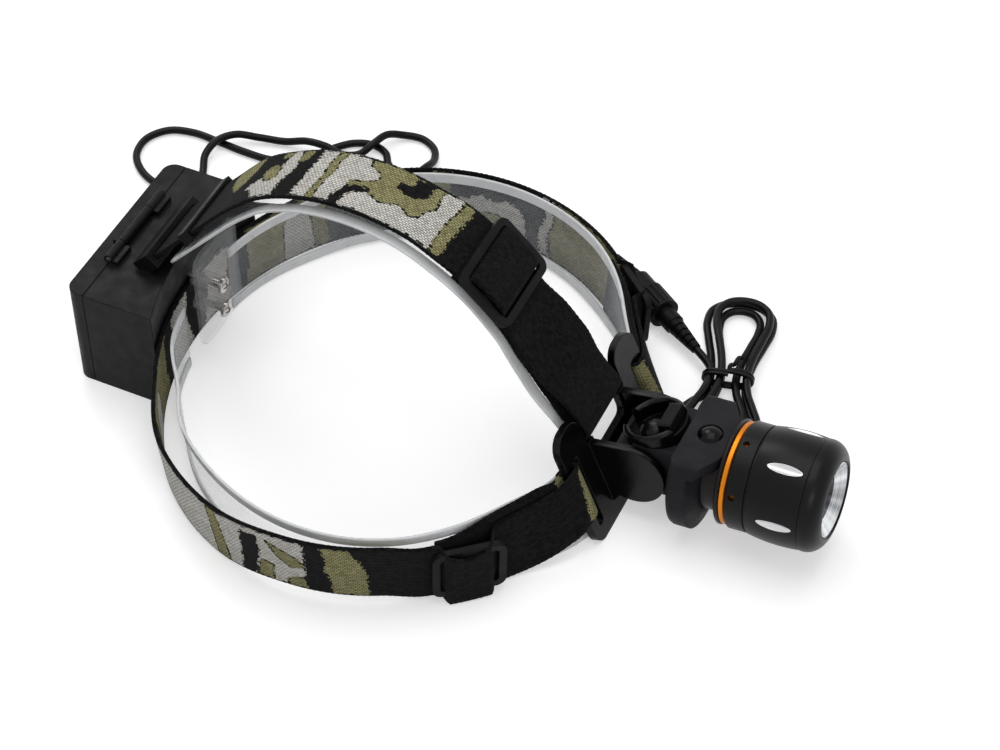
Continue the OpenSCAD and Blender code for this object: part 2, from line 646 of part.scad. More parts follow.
tail_back = collar_back + 1.55;
module lamp_tail() color(brown_black) difference() {
    turned([
        [0, tail_back], [tail_r, tail_back], [tail_r, waist_z], [waist_r, waist_z],
        [waist_r, tail_front], [flange_r - 0.4, tail_front],
        [flange_r, tail_front + 0.4], [flange_r, tail_front + flange_len - 0.4],
        [flange_r - 0.4, tail_front + flange_len], [neck_r, tail_front + flange_len],
        [neck_r, neck_front], [13, neck_front], [13, neck_front - 4], [12, neck_front - 4],
        [12, tail_back + 2], [0, tail_back + 2]
    ]);
    on_switch() translate([0, 0, 2]) cylinder(r = button_r + 0.9, h = cut);
}
module led_pillar() color([0.75, 0.76, 0.78]) turned([
    [0, neck_front - 3.95], [12.95, neck_front - 3.95], [12.95, neck_front + 1.4],
    [9, neck_front + 3], [0, neck_front + 3]
]);
module led_board() color([0.9, 0.9, 0.88])
    on_lamp() translate([0, 0, neck_front + 3.05]) cylinder(r = 8, h = 1.4);
module led_dome() color([0.95, 0.85, 0.4]) on_lamp() translate([0, 0, neck_front + 4.5]) {
    translate([-2.5, -2.5, 0]) cube([5, 5, 0.8]);
    intersection() {
        sphere(2.4);
        cylinder(r = 3, h = 3);
    }
}
groove_z = sleeve_front - 4;
module gold_sleeve() color([0.9, 0.55, 0.1]) difference() {
    turned([
        [neck_r + seat_gap, gold_z], [gold_r - 0.5, gold_z], [gold_r, gold_z + 0.5],
        [gold_r, gold_z + gold_w - 0.5], [gold_r - 0.5, gold_z + gold_w],
        [sleeve_r, gold_z + gold_w], [sleeve_r, sleeve_front], [neck_r + seat_gap, sleeve_front]
    ]);
    on_lamp() translate([0, 0, groove_z]) difference() {
        cylinder(r = sleeve_r + 1, h = 1.1);
        translate([0, 0, -1]) cylinder(r = sleeve_r - 1, h = 4);
    }
}
module sleeve_oring() color(black) on_lamp() translate([0, 0, groove_z + 0.55])
    rotate_extrude() translate([sleeve_r - 0.5, 0]) circle(0.48, $fn = 24);

module focus_barrel() color(black) difference() {
    on_lamp() rotate_extrude($fn = 128) difference() {
        union() {
            polygon([[0, head_z], [band_r - 0.4, head_z], [band_r, head_z + 0.4],
                     [band_r, head_z + band_len - 0.3], [band_r - 0.3, head_z + band_len],
                     [band_r - 0.7, head_z + band_len], [band_r - 0.7, barrel_z + 1], [0, barrel_z + 1]]);
            intersection() {
                translate([barrel_r - bulge_r, bulge_z]) circle(bulge_r, $fn = 256);
                translate([0, barrel_z]) square([barrel_r, barrel_len - bezel_gap]);
            }
        }
        translate([-1, 0]) square([sleeve_r + slide_gap + 1, cut * 2]);
    }
    for (i = [0 : flat_count - 1]) on_lamp() rotate([0, 0, 360 * (i + 0.5) / flat_count - flat_turn])
        translate([barrel_r + 0.85, 0, bulge_z]) flat_cutter();
    for (i = [0 : flat_count - 1]) on_lamp() rotate([0, 0, 360 * i / flat_count + 2 * flat_turn])
        translate([0, 0, head_z + 2.5]) rotate([0, 90, 0]) cylinder(r = 1.15, h = cut, $fn = 32);
}
bulge_r = 62;              // lengthwise radius of the barrel's bulge
flat_turn = 4.4;           // turn of the flats about the beam
flat_len = 20;             // length of the round cutter of a flat
flat_w = 3.8;
module flat_cutter() {
    r = (flat_len * flat_len / 4 + flat_w * flat_w / 4) / flat_w;
    rotate_extrude() intersection() {
        translate([flat_w / 2 - r, 0]) circle(r, $fn = 96);
        translate([0, -flat_len / 2]) square([flat_w, flat_len]);
    }
}

nose_r = 6.8;
module bezel() color(black) on_lamp() rotate_extrude($fn = 128) difference() {
    union() {
        intersection() {
            translate([band_r + 0.8 - nose_r, front_z - nose_r]) circle(nose_r, $fn = 128);
            translate([0, bezel_z]) square([cut, bezel_len]);
        }
        translate([0, skirt_back]) square([skirt_r, bezel_z - skirt_back]);
    }
    translate([-1, skirt_back - 1]) square([pocket_r + seat_gap + 1, front_z - 3.8 - skirt_back + 1]);
    translate([-1, 0]) square([rim_r + seat_gap + 1, cut * 2]);
    polygon([[0, front_z - 1], [rim_r + seat_gap, front_z - 1], [rim_r + 0.9, front_z + 0.2],
             [0, front_z + 0.2]]);
}
module lens_cone() color([0.85, 0.86, 0.88]) turned([
    [pocket_r - 2.4, front_z - 8.6], [pocket_r, front_z - 8.6], [pocket_r, front_z - 3.9],
    [rim_r, front_z - 3.9], [rim_r, rim_z], [rim_r - 0.7, rim_z],
    [mouth_r, front_z - 3.9], [mouth_r, front_z - 5.6], [pocket_r - 2.4, front_z - 5.6]
]);
module lens() color([0.92, 0.95, 0.98, 0.6]) on_lamp() translate([0, 0, lens_back]) {
    cylinder(r = pocket_r - 0.1, h = lens_flange, $fn = 128);
    intersection() {
        r = (dome_r * dome_r + dome_rise * dome_rise) / (2 * dome_rise);
        translate([0, 0, lens_flange + dome_rise - r]) sphere(r, $fn = 128);
        translate([0, 0, 1]) cylinder(r = dome_r, h = 20);
    }
}
module lens_oring() color(black) on_lamp() translate([0, 0, lens_back - 0.6])
    rotate_extrude() translate([pocket_r - 1, 0]) circle(0.5, $fn = 24);
module lens_ring() color(black) turned([
    [pocket_r - 3, lens_back - 2.2], [pocket_r - 0.1, lens_back - 2.2],
    [pocket_r - 0.1, lens_back - 1.15], [pocket_r - 3, lens_back - 1.15]
]);

// ---------------------------------------------------------------- rear of the headset

boss_r = 3.4;
module rear_plate() color(clear_pvc) difference() {
    union() {
        translate([plate_rear_x, 0, 33]) panel(plate_rear_t) round_rect(30, 46, 5);
        for (z = screw_z) translate([-hoop_a + over_plate, 0, z]) rotate([0, 90, 0])
            cylinder(r = boss_r, h = screw_seat + hoop_a - over_plate);
    }
    for (z = screw_z) translate([-hoop_a, 0, z]) rotate([0, 90, 0]) cylinder(r = screw_r + 0.2, h = 30);
}

screw_seat = plate_rear_x + plate_rear_t + 1;  // face under the screw heads
module plate_screws() color(steel) for (z = screw_z)
    translate([screw_seat + seat_gap, 0, z]) rotate([0, 90, 0]) difference() {
        union() {
            cylinder(r = screw_head_r, h = 1.2);
            intersection() {
                translate([0, 0, 2.2 - 4.2]) sphere(4.2);
                translate([0, 0, 1]) cylinder(r = screw_head_r, h = 3);
            }
            translate([0, 0, -16]) cylinder(r = screw_r, h = 17);
        }
        for (turn = [0, 90]) rotate([0, 0, turn]) translate([-1.9, -0.4, 1]) cube([3.8, 0.8, 3]);
    }

// Outline of the box in plan, with its front hollowed to the back of the hoop.
corner_r = 5;
module box_plan(inset) difference() {
    translate([(box_back + rear_x) / 2, 0])
        round_rect(rear_x - box_back - 2 * inset, box_w - 2 * inset, corner_r - inset);
    translate([rear_x, 0]) circle(r = box_bend + inset, $fn = 256);
    translate([0, -cut]) square([cut, 2 * cut]);
}
module behind(x) translate([x - far_cut, -far_cut / 2, -far_cut / 2]) cube(far_cut);
cell_front = cell_x + cell_d / 2 + 0.4;
module cell_room() translate([box_back + box_wall, -room_half, box_wall])
    cube([cell_front - box_back - box_wall, 2 * room_half, box_h - 2 * box_wall]);

module on_rear_run() {
    translate([-crown_back, 0, crown_z - crown_r_rear]) rotate([0, -crown_dip_rear, 0])
        translate([-rear_strap_run, 0, crown_r_rear]) children();
}
knuckle_half = 10;
hinge_half = 20;
module lid_knuckle(y0, y1, ahead) {
    translate([part_x, y1, lid_axis_z]) rotate([90, 0, 0]) cylinder(r = lid_knuckle_r, h = y1 - y0);
    translate([part_x + (ahead > 0 ? 0 : -4), y0, box_h - 1]) cube([4, y1 - y0, lid_axis_z - box_h + 1]);
}
module battery_box() color(black) difference() {
    union() {
        difference() {
            linear_extrude(box_h) box_plan(0);
            behind(part_x);
        }
        on_rear_run() translate([-2, -strap_w / 2 - 3, -3.4]) cube([9, strap_w + 6, 6.8]);
        difference() {
            for (side = [0, 1]) mirror([0, side, 0]) lid_knuckle(knuckle_half + 0.3, hinge_half, 1);
            translate([part_x, -knuckle_half - 0.3, lid_axis_z]) rotate([90, 0, 0]) cylinder(r = 1, h = 1);
        }
    }
    cell_room();
    on_rear_run() translate([-soft_gap, -strap_w / 2 - 0.4, -over_plate])
        cube([cut, strap_w + 0.8, 2 * over_plate]);
    translate([part_x, cut, lid_axis_z]) rotate([90, 0, 0]) cylinder(r = 1 + seat_gap, h = 2 * cut);
    for (z = screw_z) translate([screw_seat - 16.4, 0, z]) rotate([0, 90, 0])
        cylinder(r = screw_r + seat_gap, h = cut);
    translate([cell_x, room_half, cell_z[0] + 1]) rotate([-90, 0, 0]) cylinder(r = 1.9, h = cut);
}

module battery_lid() color(black) difference() {
    union() {
        intersection() {
            linear_extrude(box_h) box_plan(0);
            behind(part_x - lid_gap);
        }
        lid_knuckle(-knuckle_half, knuckle_half, -1);
        for (z = [12, 18, 24, 30]) translate([box_back, 0, z]) rotate([90, 0, 0])
            cylinder(r = 0.9, h = 46, center = true);
    }
    cell_room();
    translate([part_x, cut, lid_axis_z]) rotate([90, 0, 0]) cylinder(r = 1 + seat_gap, h = 2 * cut);
    for (side = [-1, 1]) translate([part_x, side * (knuckle_half + 0.15 + 6), lid_axis_z])
        rotate([90, 0, 0]) cylinder(r = lid_knuckle_r + soft_gap, h = 12, center = true);
}

module lid_pin() color(steel) translate([part_x, hinge_half, lid_axis_z]) rotate([90, 0, 0])
    cylinder(r = 1, h = 2 * hinge_half);

module battery_cells() color([0.15, 0.3, 0.5]) for (z = cell_z)
    translate([cell_x, -room_half + spring_len + contact_t, z]) rotate([-90, 0, 0]) {
        cylinder(r = cell_d / 2, h = cell_l - 1.2);
        translate([0, 0, cell_l - 1.2]) cylinder(r = 3.2, h = 1.2);
    }
module contact_springs() color(steel) for (z = cell_z)
    translate([cell_x, -room_half + contact_t + 0.1, z]) rotate([-90, 0, 0]) difference() {
        cylinder(r1 = 4, r2 = 2.6, h = spring_len - 0.2);
        translate([0, 0, -0.1]) cylinder(r1 = 3.4, r2 = 2, h = spring_len);
    }
board_y = -room_half + spring_len + contact_t + cell_l + 0.1;
module contact_plates() color(steel) {
    for (z = cell_z) translate([cell_x - 5, -room_half + 0.05, z - 6]) cube([10, contact_t, 12]);
    for (z = cell_z) translate([cell_x - 5, board_y, z - 6]) cube([10, contact_t, 12]);
}
module charge_board() color([0.1, 0.35, 0.2])
    translate([cell_x - 7, board_y + contact_t + 0.1, box_wall + 1]) cube([12, 1.2, box_h - 2 * box_wall - 2]);

box_relief_l = 12;
relief_z = cell_z[0] + 1;
box_tip = [cell_x, box_w / 2 + seat_gap + 2 + box_relief_l, relief_z];
module box_relief() color(black) translate([cell_x, box_w / 2 + seat_gap, relief_z]) rotate([-90, 0, 0]) {
    cylinder(r = 4.4, h = 2);
    translate([0, 0, 2]) relief_sleeve(3.4, cord_d / 2 + 0.5, box_relief_l, 4);
    translate([0, 0, -2.6]) cylinder(r = 1.8, h = 3);
}

keeper_t = 1.3;
module strap_keeper() color(black) on_rear_run() translate([rear_strap_run - 22, 0, 0]) difference() {
    translate([-2.5, -strap_w / 2 - 0.5 - keeper_t, -over_plate - keeper_t])
        cube([5, strap_w + 1 + 2 * keeper_t, 2 * (over_plate + keeper_t)]);
    translate([-cut, -strap_w / 2 - 0.5, -over_plate]) cube([2 * cut, strap_w + 1, 2 * over_plate]);
}

// ---------------------------------------------------------------- cords

lie_z = cord_d / 2 + 0.1;  // a cord lying on the surface
over_z = lie_z + cord_d + 0.4;
hank_place = [111.5, 60.5];
hank_turn = 103.6;
hank_pitch = 4;            // from one loop of the hank to the next
hank_low = 2.5;            // height of the lower layer
hank_step = 3.8;           // up to the upper layer
hank_far = 38;
hank_near = 27;
hank_waist = 2;
hank_lobe_far = 14;
hank_lobe_near = 14;
function hank_offset(t) = hank_pitch * abs(hank_loops / 2 - t);
function hank_xy(t) =
    let (a = 270 + 360 * t, c = cos(a), o = hank_offset(t))
    [(c >= 0 ? hank_far + o : hank_near + o) * c,
     -sin(a) * (hank_waist + o + (c >= 0 ? hank_lobe_far + 1.6 * o : hank_lobe_near + 2 * o) * c * c)];
function hank_point(t) =
    let (p = hank_xy(t), z = hank_low + hank_step * ease((t - hank_loops / 2 + 0.25) * 2))
    [hank_place.x + p.x * cos(hank_turn) - p.y * sin(hank_turn),
     hank_place.y + p.x * sin(hank_turn) + p.y * cos(hank_turn), z];
hank_rings = 24 * hank_loops;
hank_lead = 0.02;          // share of a loop by which both ends lie before the waist
hank_run = [cos(hank_turn), sin(hank_turn), 0];
hank_last = hank_point(hank_loops - hank_lead);
hank_path = [
    hank_point(-hank_lead), for (i = [0 : hank_rings - 1]) hank_point(i / 24), hank_last,
    hank_last + 1.05 * cord_d * hank_run
];
hank_in = hank_path[0];
hank_in_dir = unit(hank_path[1] - hank_in);
hank_out = hank_path[len(hank_path) - 1];

// Least free distance between turns of the hank: each point to each far stretch of its route.
function span_gap(p, a, b) =
    let (v = b - a, t = max(0, min(1, (p - a) * v / (v * v)))) norm(p - a - t * v);
self_gap = min([for (i = [0 : len(hank_path) - 1]) for (j = [0 : len(hank_path) - 2])
    if (abs(i - j) >= 8) span_gap(hank_path[i], hank_path[j], hank_path[j + 1])]) - cord_d;
echo(hank_self_gap = self_gap);

lamp_route = [
    relief_tip, relief_tip + [0, 2.4, -2.4], [100.4, 30, 9.8], [99.2, 34.8, 4.2], [99.4, 40, 2.5],
    [101.6, 45.6, 2.5], hank_in - 1.05 * cord_d * hank_in_dir, hank_in
];
module lamp_cord() color(black) tube(lamp_route, cord_d / 2, 8);
module cord_hank() color(black) tube(hank_path, cord_d / 2, 6);

module hank_tie() color(black) translate([hank_place.x, hank_place.y, 0]) rotate([0, 0, hank_turn]) {
    top = hank_low + hank_step + cord_d / 2 + 0.2;
    low = hank_low - cord_d / 2 - 0.2;
    left = hank_waist + 1.5 * hank_pitch + cord_d / 2 + 0.9;
    right = -hank_waist - hank_pitch - cord_d / 2 - 0.7;
    translate([-3, (left + right) / 2, (top + low) / 2]) panel(3) difference() {
        round_rect(left - right + 1.2, top - low + 1.2, 2.4);
        round_rect(left - right, top - low, 1.8);
    }
    translate([-1.5, right + 4, top + 0.3]) rotate([0, 72, 40]) cylinder(r = 0.8, h = 12);
}

plug_place = [94, 68, 6.6];
plug_turn = 145.7;
plug_dir = [cos(plug_turn), sin(plug_turn), 0];
plug_route = [
    hank_out, hank_out + cord_d * hank_run, [100, 63.9, 6.4], plug_place - 3.4 * plug_dir,
    plug_place
];
module plug_cord() color(black) tube(plug_route, cord_d / 2, 8);
module on_plug() translate(plug_place) rotate([0, 0, plug_turn]) rotate([0, 90, 0]) children();
module plug_body() color(black) on_plug() {
    mirror([0, 0, 1]) translate([0, 0, -15]) relief_sleeve(3.6, cord_d / 2 + 0.5, 15, 4);
    translate([0, 0, 15]) cylinder(r = 4.1, h = 9.5);
    translate([0, 0, 24.5]) cylinder(r = 4.9, h = 2.5);
}
module coupling_nut() color(black) on_plug() translate([0, 0, 22]) difference() {
    cylinder(r = 6.3, h = 12);
    translate([0, 0, -1]) cylinder(r = 4.18, h = 14);
    translate([0, 0, 2.3]) cylinder(r = 5.28, h = 12);
    for (i = [0 : 15]) rotate([0, 0, i * 22.5]) translate([6.6, 0, 1.2]) cylinder(r = 0.7, h = 9.6, $fn = 16);
}
socket_end = 58;
module socket_body() color(black) on_plug() {
    translate([0, 0, 27.3]) cylinder(r = 5.2, h = 6.9);
    translate([0, 0, 34.2]) cylinder(r = 5.6, h = 8);
    translate([0, 0, 42.2]) relief_sleeve(4.4, cord_d / 2 + 0.5, socket_end - 42.2, 4);
}

socket_tip = plug_place + socket_end * plug_dir;
battery_route = [
    socket_tip, socket_tip + 3.4 * plug_dir, [37, 105.5, 4.6], [30, 108, 2.4], [20, 109.5, lie_z],
    [6, 110, lie_z], [-8, 110, lie_z], [-22, 110.5, lie_z], [-36, 111.5, lie_z], [-48, 112.5, lie_z],
    [-57, 113, lie_z], [-63, 116.5, lie_z], [-67, 122, lie_z], [-74, 124.5, lie_z], [-82, 122, lie_z],
    [-88, 116, lie_z], [-93, 109, lie_z], [-99, 102, lie_z], [-108, 98.5, lie_z], [-121, 98, lie_z],
    [-134, 99, lie_z], [-146, 99.5, lie_z], [-156, 96.5, lie_z], [-162, 88, lie_z], [-161, 78, lie_z],
    [-154, 70, lie_z], [-143, 65.5, lie_z], [-133, 66.5, lie_z], [-128, 73, lie_z], [-131, 81, lie_z],
    [-134, 88.5, 3.2], [-132.5, 96, over_z], [-127.5, 102.5, over_z], [-119, 107, 3.2], [-108, 110, 2.6],
    [-98, 111.5, over_z], [-90, 112, over_z], [-82, 112.5, 3], [-76, 116, 3], [-72.5, 122, over_z],
    [-70, 129, over_z], [-65, 134.5, 2.6], [-57, 136.5, lie_z], [-50, 133, lie_z], [-46.5, 126, 2.6],
    [-46.5, 117.5, over_z], [-49, 109.5, over_z], [-53.5, 101, 2.8], [-61, 92, lie_z], [-70, 84, lie_z],
    [-80, 78, lie_z], [-89.5, 74, 2.6], [-96.5, 68.5, 5.4], [cell_x + 1.2, 62, relief_z - 2.6],
    box_tip + [0, 3.4, 0], box_tip
];
module battery_cord() color(black) tube(battery_route, cord_d / 2, 8);

// ---------------------------------------------------------------- selection

side_strap();
crown_strap();
near_fold();
far_fold();
crown_fold();
side_liner();
crown_liner();
near_buckle();
far_buckle();
crown_buckle();
front_bracket();
pivot_pin();
pivot_bush();
cord_relief();
lamp_cradle();
hinge_cup();
cup_cap();
tilt_latch();
latch_spring();
push_button();
button_spring();
switch_body();
driver_board();
lamp_tail();
led_pillar();
led_board();
led_dome();
gold_sleeve();
sleeve_oring();
focus_barrel();
bezel();
lens_cone();
lens();
lens_oring();
lens_ring();
rear_plate();
plate_screws();
battery_box();
battery_lid();
lid_pin();
battery_cells();
contact_springs();
contact_plates();
charge_board();
box_relief();
strap_keeper();
lamp_cord();
cord_hank();
hank_tie();
plug_cord();
plug_body();
coupling_nut();
socket_body();
battery_cord();
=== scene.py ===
import math

import bpy
import numpy as np
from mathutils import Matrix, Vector


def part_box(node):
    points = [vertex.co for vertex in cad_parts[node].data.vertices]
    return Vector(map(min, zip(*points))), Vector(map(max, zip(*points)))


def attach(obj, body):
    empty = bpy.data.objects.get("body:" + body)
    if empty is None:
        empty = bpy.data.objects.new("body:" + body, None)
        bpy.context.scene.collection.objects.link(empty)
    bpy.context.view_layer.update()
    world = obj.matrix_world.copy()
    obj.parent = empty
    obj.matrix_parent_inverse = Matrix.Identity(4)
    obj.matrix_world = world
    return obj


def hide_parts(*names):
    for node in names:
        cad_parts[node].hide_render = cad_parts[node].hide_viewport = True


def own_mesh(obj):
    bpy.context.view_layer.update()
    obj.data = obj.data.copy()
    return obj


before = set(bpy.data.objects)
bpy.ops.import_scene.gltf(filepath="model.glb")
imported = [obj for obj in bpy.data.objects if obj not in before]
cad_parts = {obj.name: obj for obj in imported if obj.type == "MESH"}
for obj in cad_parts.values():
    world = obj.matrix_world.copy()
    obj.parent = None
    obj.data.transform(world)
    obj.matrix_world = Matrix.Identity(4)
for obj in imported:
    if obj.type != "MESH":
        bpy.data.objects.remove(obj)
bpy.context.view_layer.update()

# Lengths are millimetres in the frame's axes, and become metres where a mesh or curve is made.
MM = 0.001

# ---------------------------------------------------------------- camera

VIEW_AZIMUTH = math.radians(25)
VIEW_ELEVATION = math.radians(47)
VIEW_DISTANCE = 1.0
VIEW_TARGET = Vector((0.0347, 0.0165, 0.015))
IMAGE_WIDTH = 1000
FOCAL_PIXELS = 2650
SENSOR_WIDTH = 36


def make_camera():
    data = bpy.data.cameras.new("camera")
    data.sensor_width = SENSOR_WIDTH
    data.lens = SENSOR_WIDTH * FOCAL_PIXELS / IMAGE_WIDTH
    camera = bpy.data.objects.new("camera", data)
    level = math.cos(VIEW_ELEVATION)
    back = Vector((math.sin(VIEW_AZIMUTH) * level, -math.cos(VIEW_AZIMUTH) * level,
                   math.sin(VIEW_ELEVATION)))
    camera.location = VIEW_TARGET + VIEW_DISTANCE * back
    camera.rotation_euler = (math.pi / 2 - VIEW_ELEVATION, 0, VIEW_AZIMUTH)
    bpy.context.scene.collection.objects.link(camera)
    bpy.context.scene.camera = camera


make_camera()

# ---------------------------------------------------------------- sizes shared with the frame

HOOP_A = 87.5              # half length of the head opening
HOOP_B = 97.5              # half width of the head opening
STRAP_W = 30
STRAP_T = 1.6
LINER_T = 1.2
LINER_LOW = 4.7
SOFT_GAP = 0.3
PLATE_X = 98               # foot of the bracket plate
PLATE_T = 3
PLATE_HALF = 33
LEAN = math.radians(22)    # backward lean of the plate
LEAN_C = math.cos(LEAN)
LEAN_S = math.sin(LEAN)
HEM_Z = 0.5
FRONT_REACH = 8
SIDE_FLARE = 6
SLOT_FOOT = 7
CORNER_Y = 28.5            # inner edge of the bar that the webbing turns over
OVER_PLATE = STRAP_T / 2 + SOFT_GAP
UNDER_PLATE = PLATE_T + 2 * OVER_PLATE
BUCKLE_Q = 46.5
NEAR_RAISE = 3.2
NEAR_PEAK = 4.5            # how far the inner layer shows above the outer one beyond the near slide
FAR_PEAK = 2               # and beyond the far slide
SLIDE_OPEN = 10.5          # half the opening of a slide along the band
SLIDE_RAMP = 3.2           # length over which the webbing climbs on to its middle bar
SLIDE_NARROW = 13.5        # half the length over which the webbing is drawn in
SIDE_SLIDE = (5.2, 0, 23.8, SLIDE_OPEN, SLIDE_NARROW)     # lift, lower edge, upper edge
CROWN_SLIDE = (4.7, 0.3, 29.7, SLIDE_OPEN, SLIDE_NARROW)
BRACKET_SLOT = (0, 6, 29, SLIDE_OPEN, 36)
RIPPLE = 0.12              # waviness of a knitted edge
RIPPLE_LENGTH = 2.3
FOLD_INSET = STRAP_T + SOFT_GAP
CROWN_Z = 108.5
CROWN_BACK = 12
CROWN_R_FRONT = 77
CROWN_R_REAR = 68
DIP_FRONT = 50
DIP_REAR = 48
CROWN_BUCKLE_DIP = 44.5
ROLL_FRONT = 11            # degrees of twist between the slide and the bracket
ROLL_BACK = -4             # and over the top of the head
BAR_X = -2.6
BAR_L = 39.6
BOX_H = 46
PIVOT = np.array([101.5, 0, 23])
LAMP_PITCH = math.radians(4.7)
CORD_D = 3.2

# ---------------------------------------------------------------- curves and meshes


def unit(v):
    v = np.array(v, float)
    return v / np.linalg.norm(v)


def ease(t):
    t = min(max(t, 0.0), 1.0)
    return t * t * (3 - 2 * t)


def mix(a, b, t):
    return a + (b - a) * t


def smooth_through(rows, step):
    """Rows whose first three numbers are a point, on one smooth curve through them at about that step."""
    rows = np.array(rows, float)
    knots = np.concatenate([[0], np.cumsum(np.linalg.norm(np.diff(rows[:, :3], axis=0), axis=1))])
    slopes = np.gradient(rows, knots, axis=0)
    at = np.linspace(0, knots[-1], int(round(knots[-1] / step)) + 1)
    i = np.clip(np.searchsorted(knots, at, side="right") - 1, 0, len(knots) - 2)
    span = (knots[i + 1] - knots[i])[:, None]
    s = (at - knots[i])[:, None] / span
    start, end = rows[i], rows[i + 1]
    out_of, into = slopes[i] * span, slopes[i + 1] * span
    return ((2 * s**3 - 3 * s**2 + 1) * start + (s**3 - 2 * s**2 + s) * out_of
            + (3 * s**2 - 2 * s**3) * end + (s**3 - s**2) * into)


def link(obj, material):
    obj.data.materials.append(material)
    bpy.context.scene.collection.objects.link(obj)
    return obj


def cord_curve(name, points, radius, material):
    """A round cord along points in millimetres, as one open spline."""
    data = bpy.data.curves.new(name, "CURVE")
    data.dimensions = "3D"
    data.bevel_depth = radius * MM
    data.bevel_resolution = 6
    data.use_fill_caps = True
    spline = data.splines.new("POLY")
    spline.points.add(len(points) - 1)
    for point, place in zip(spline.points, points):
        point.co = (*(place * MM), 1)
    spline.use_smooth = True
    return link(bpy.data.objects.new(name, data), material)


def mesh_object(name, verts, faces, material, smooth=True):
    data = bpy.data.meshes.new(name)
    data.from_pydata([tuple(v) for v in np.asarray(verts) * MM], [], faces)
    data.update()
    data.polygons.foreach_set("use_smooth", [smooth] * len(data.polygons))
    return link(bpy.data.objects.new(name, data), material)


# ---------------------------------------------------------------- materials


class Shader:
    """A material in the making. add() makes a node and sets or links its sockets."""

    def __init__(self, name):
        self.material = bpy.data.materials.new(name)
        self.material.use_nodes = True
        self.tree = self.material.node_tree
        self.tree.nodes.clear()

    def add(self, kind, sockets=None, **settings):
        made = self.tree.nodes.new("ShaderNode" + kind)
        for key, value in settings.items():
            setattr(made, key, value)
        for key, value in (sockets or {}).items():
            if isinstance(value, bpy.types.NodeSocket):
                self.tree.links.new(value, made.inputs[key])
            else:
                made.inputs[key].default_value = value
        return made

    def math(self, operation, *values):
        return self.add("Math", dict(enumerate(values)), operation=operation).outputs[0]

    def vector(self, operation, *values):
        return self.add("VectorMath", dict(enumerate(values)), operation=operation).outputs[0]

    def blend(self, share, a, b):
        """The colour a where share is 0 and b where it is 1."""
        return self.add("Mix", {0: share, 6: a, 7: b}, data_type="RGBA").outputs[2]

    def span(self, value, low, high, to_low=0.0, to_high=1.0):
        return self.add("MapRange", {0: value, 1: low, 2: high, 3: to_low, 4: to_high}).outputs[0]

    def place(self):
        return self.add("TexCoord").outputs["Object"]

    def noise(self, scale, detail=3.0, vector=None):
        sockets = {"Scale": scale, "Detail": detail, "Vector": vector or self.place()}
        return self.add("TexNoise", sockets).outputs["Fac"]

    def bump(self, height, strength, depth_mm, normal=None):
        sockets = {"Height": height, "Strength": strength, "Distance": depth_mm * MM}
        if normal:
            sockets["Normal"] = normal
        return self.add("Bump", sockets).outputs[0]

    def round_edges(self, radius_mm):
        return self.add("Bevel", {"Radius": radius_mm * MM}, samples=4).outputs[0]

    def surface(self, sockets):
        principled = self.add("BsdfPrincipled", sockets)
        self.add("OutputMaterial", {"Surface": principled.outputs[0]})
        return self.material


def rgb(red, green, blue):
    """An sRGB colour of 0 to 255 as the linear colour of a socket."""
    def linear(c):
        c /= 255
        return c / 12.92 if c <= 0.04045 else ((c + 0.055) / 1.055) ** 2.4
    return (linear(red), linear(green), linear(blue), 1)


def moulded(name, dark, light, rough, grain, depth, edge, gloss, metal=0.0):
    """A moulded or machined surface: slight change of colour and gloss, fine grain, softened edges."""
    s = Shader(name)
    broad = s.noise(60, 2.0)
    fine = s.noise(grain, 3.0)
    normal = s.bump(fine, 0.35, depth, s.round_edges(edge)) if edge else s.bump(fine, 0.35, depth)
    return s.surface({
        "Base Color": s.blend(s.span(broad, 0.35, 0.65), dark, light),
        "Roughness": s.span(s.noise(180), 0.3, 0.7, rough * 0.85, min(1.0, rough * 1.2)),
        "Normal": normal, "Specular IOR Level": gloss, "Metallic": metal,
    })


def length(s, a, b):
    """The length of the arrow with sides a and b."""
    return s.math("SQRT", s.math("ADD", s.math("MULTIPLY", a, a), s.math("MULTIPLY", b, b)))


def lamp_place(s):
    """Millimetres in the lamp's own frame: x down, y across and z forward along the beam."""
    moved = s.vector("SUBTRACT", s.place(), tuple(PIVOT * MM))
    turned = s.add("VectorRotate", {"Vector": moved, "Axis": (0, 1, 0), "Angle": LAMP_PITCH - math.pi / 2},
                   rotation_type="AXIS_ANGLE").outputs[0]
    scaled = s.add("VectorMath", {0: turned, "Scale": 1000.0}, operation="SCALE").outputs[0]
    return s.add("SeparateXYZ", {0: scaled}).outputs


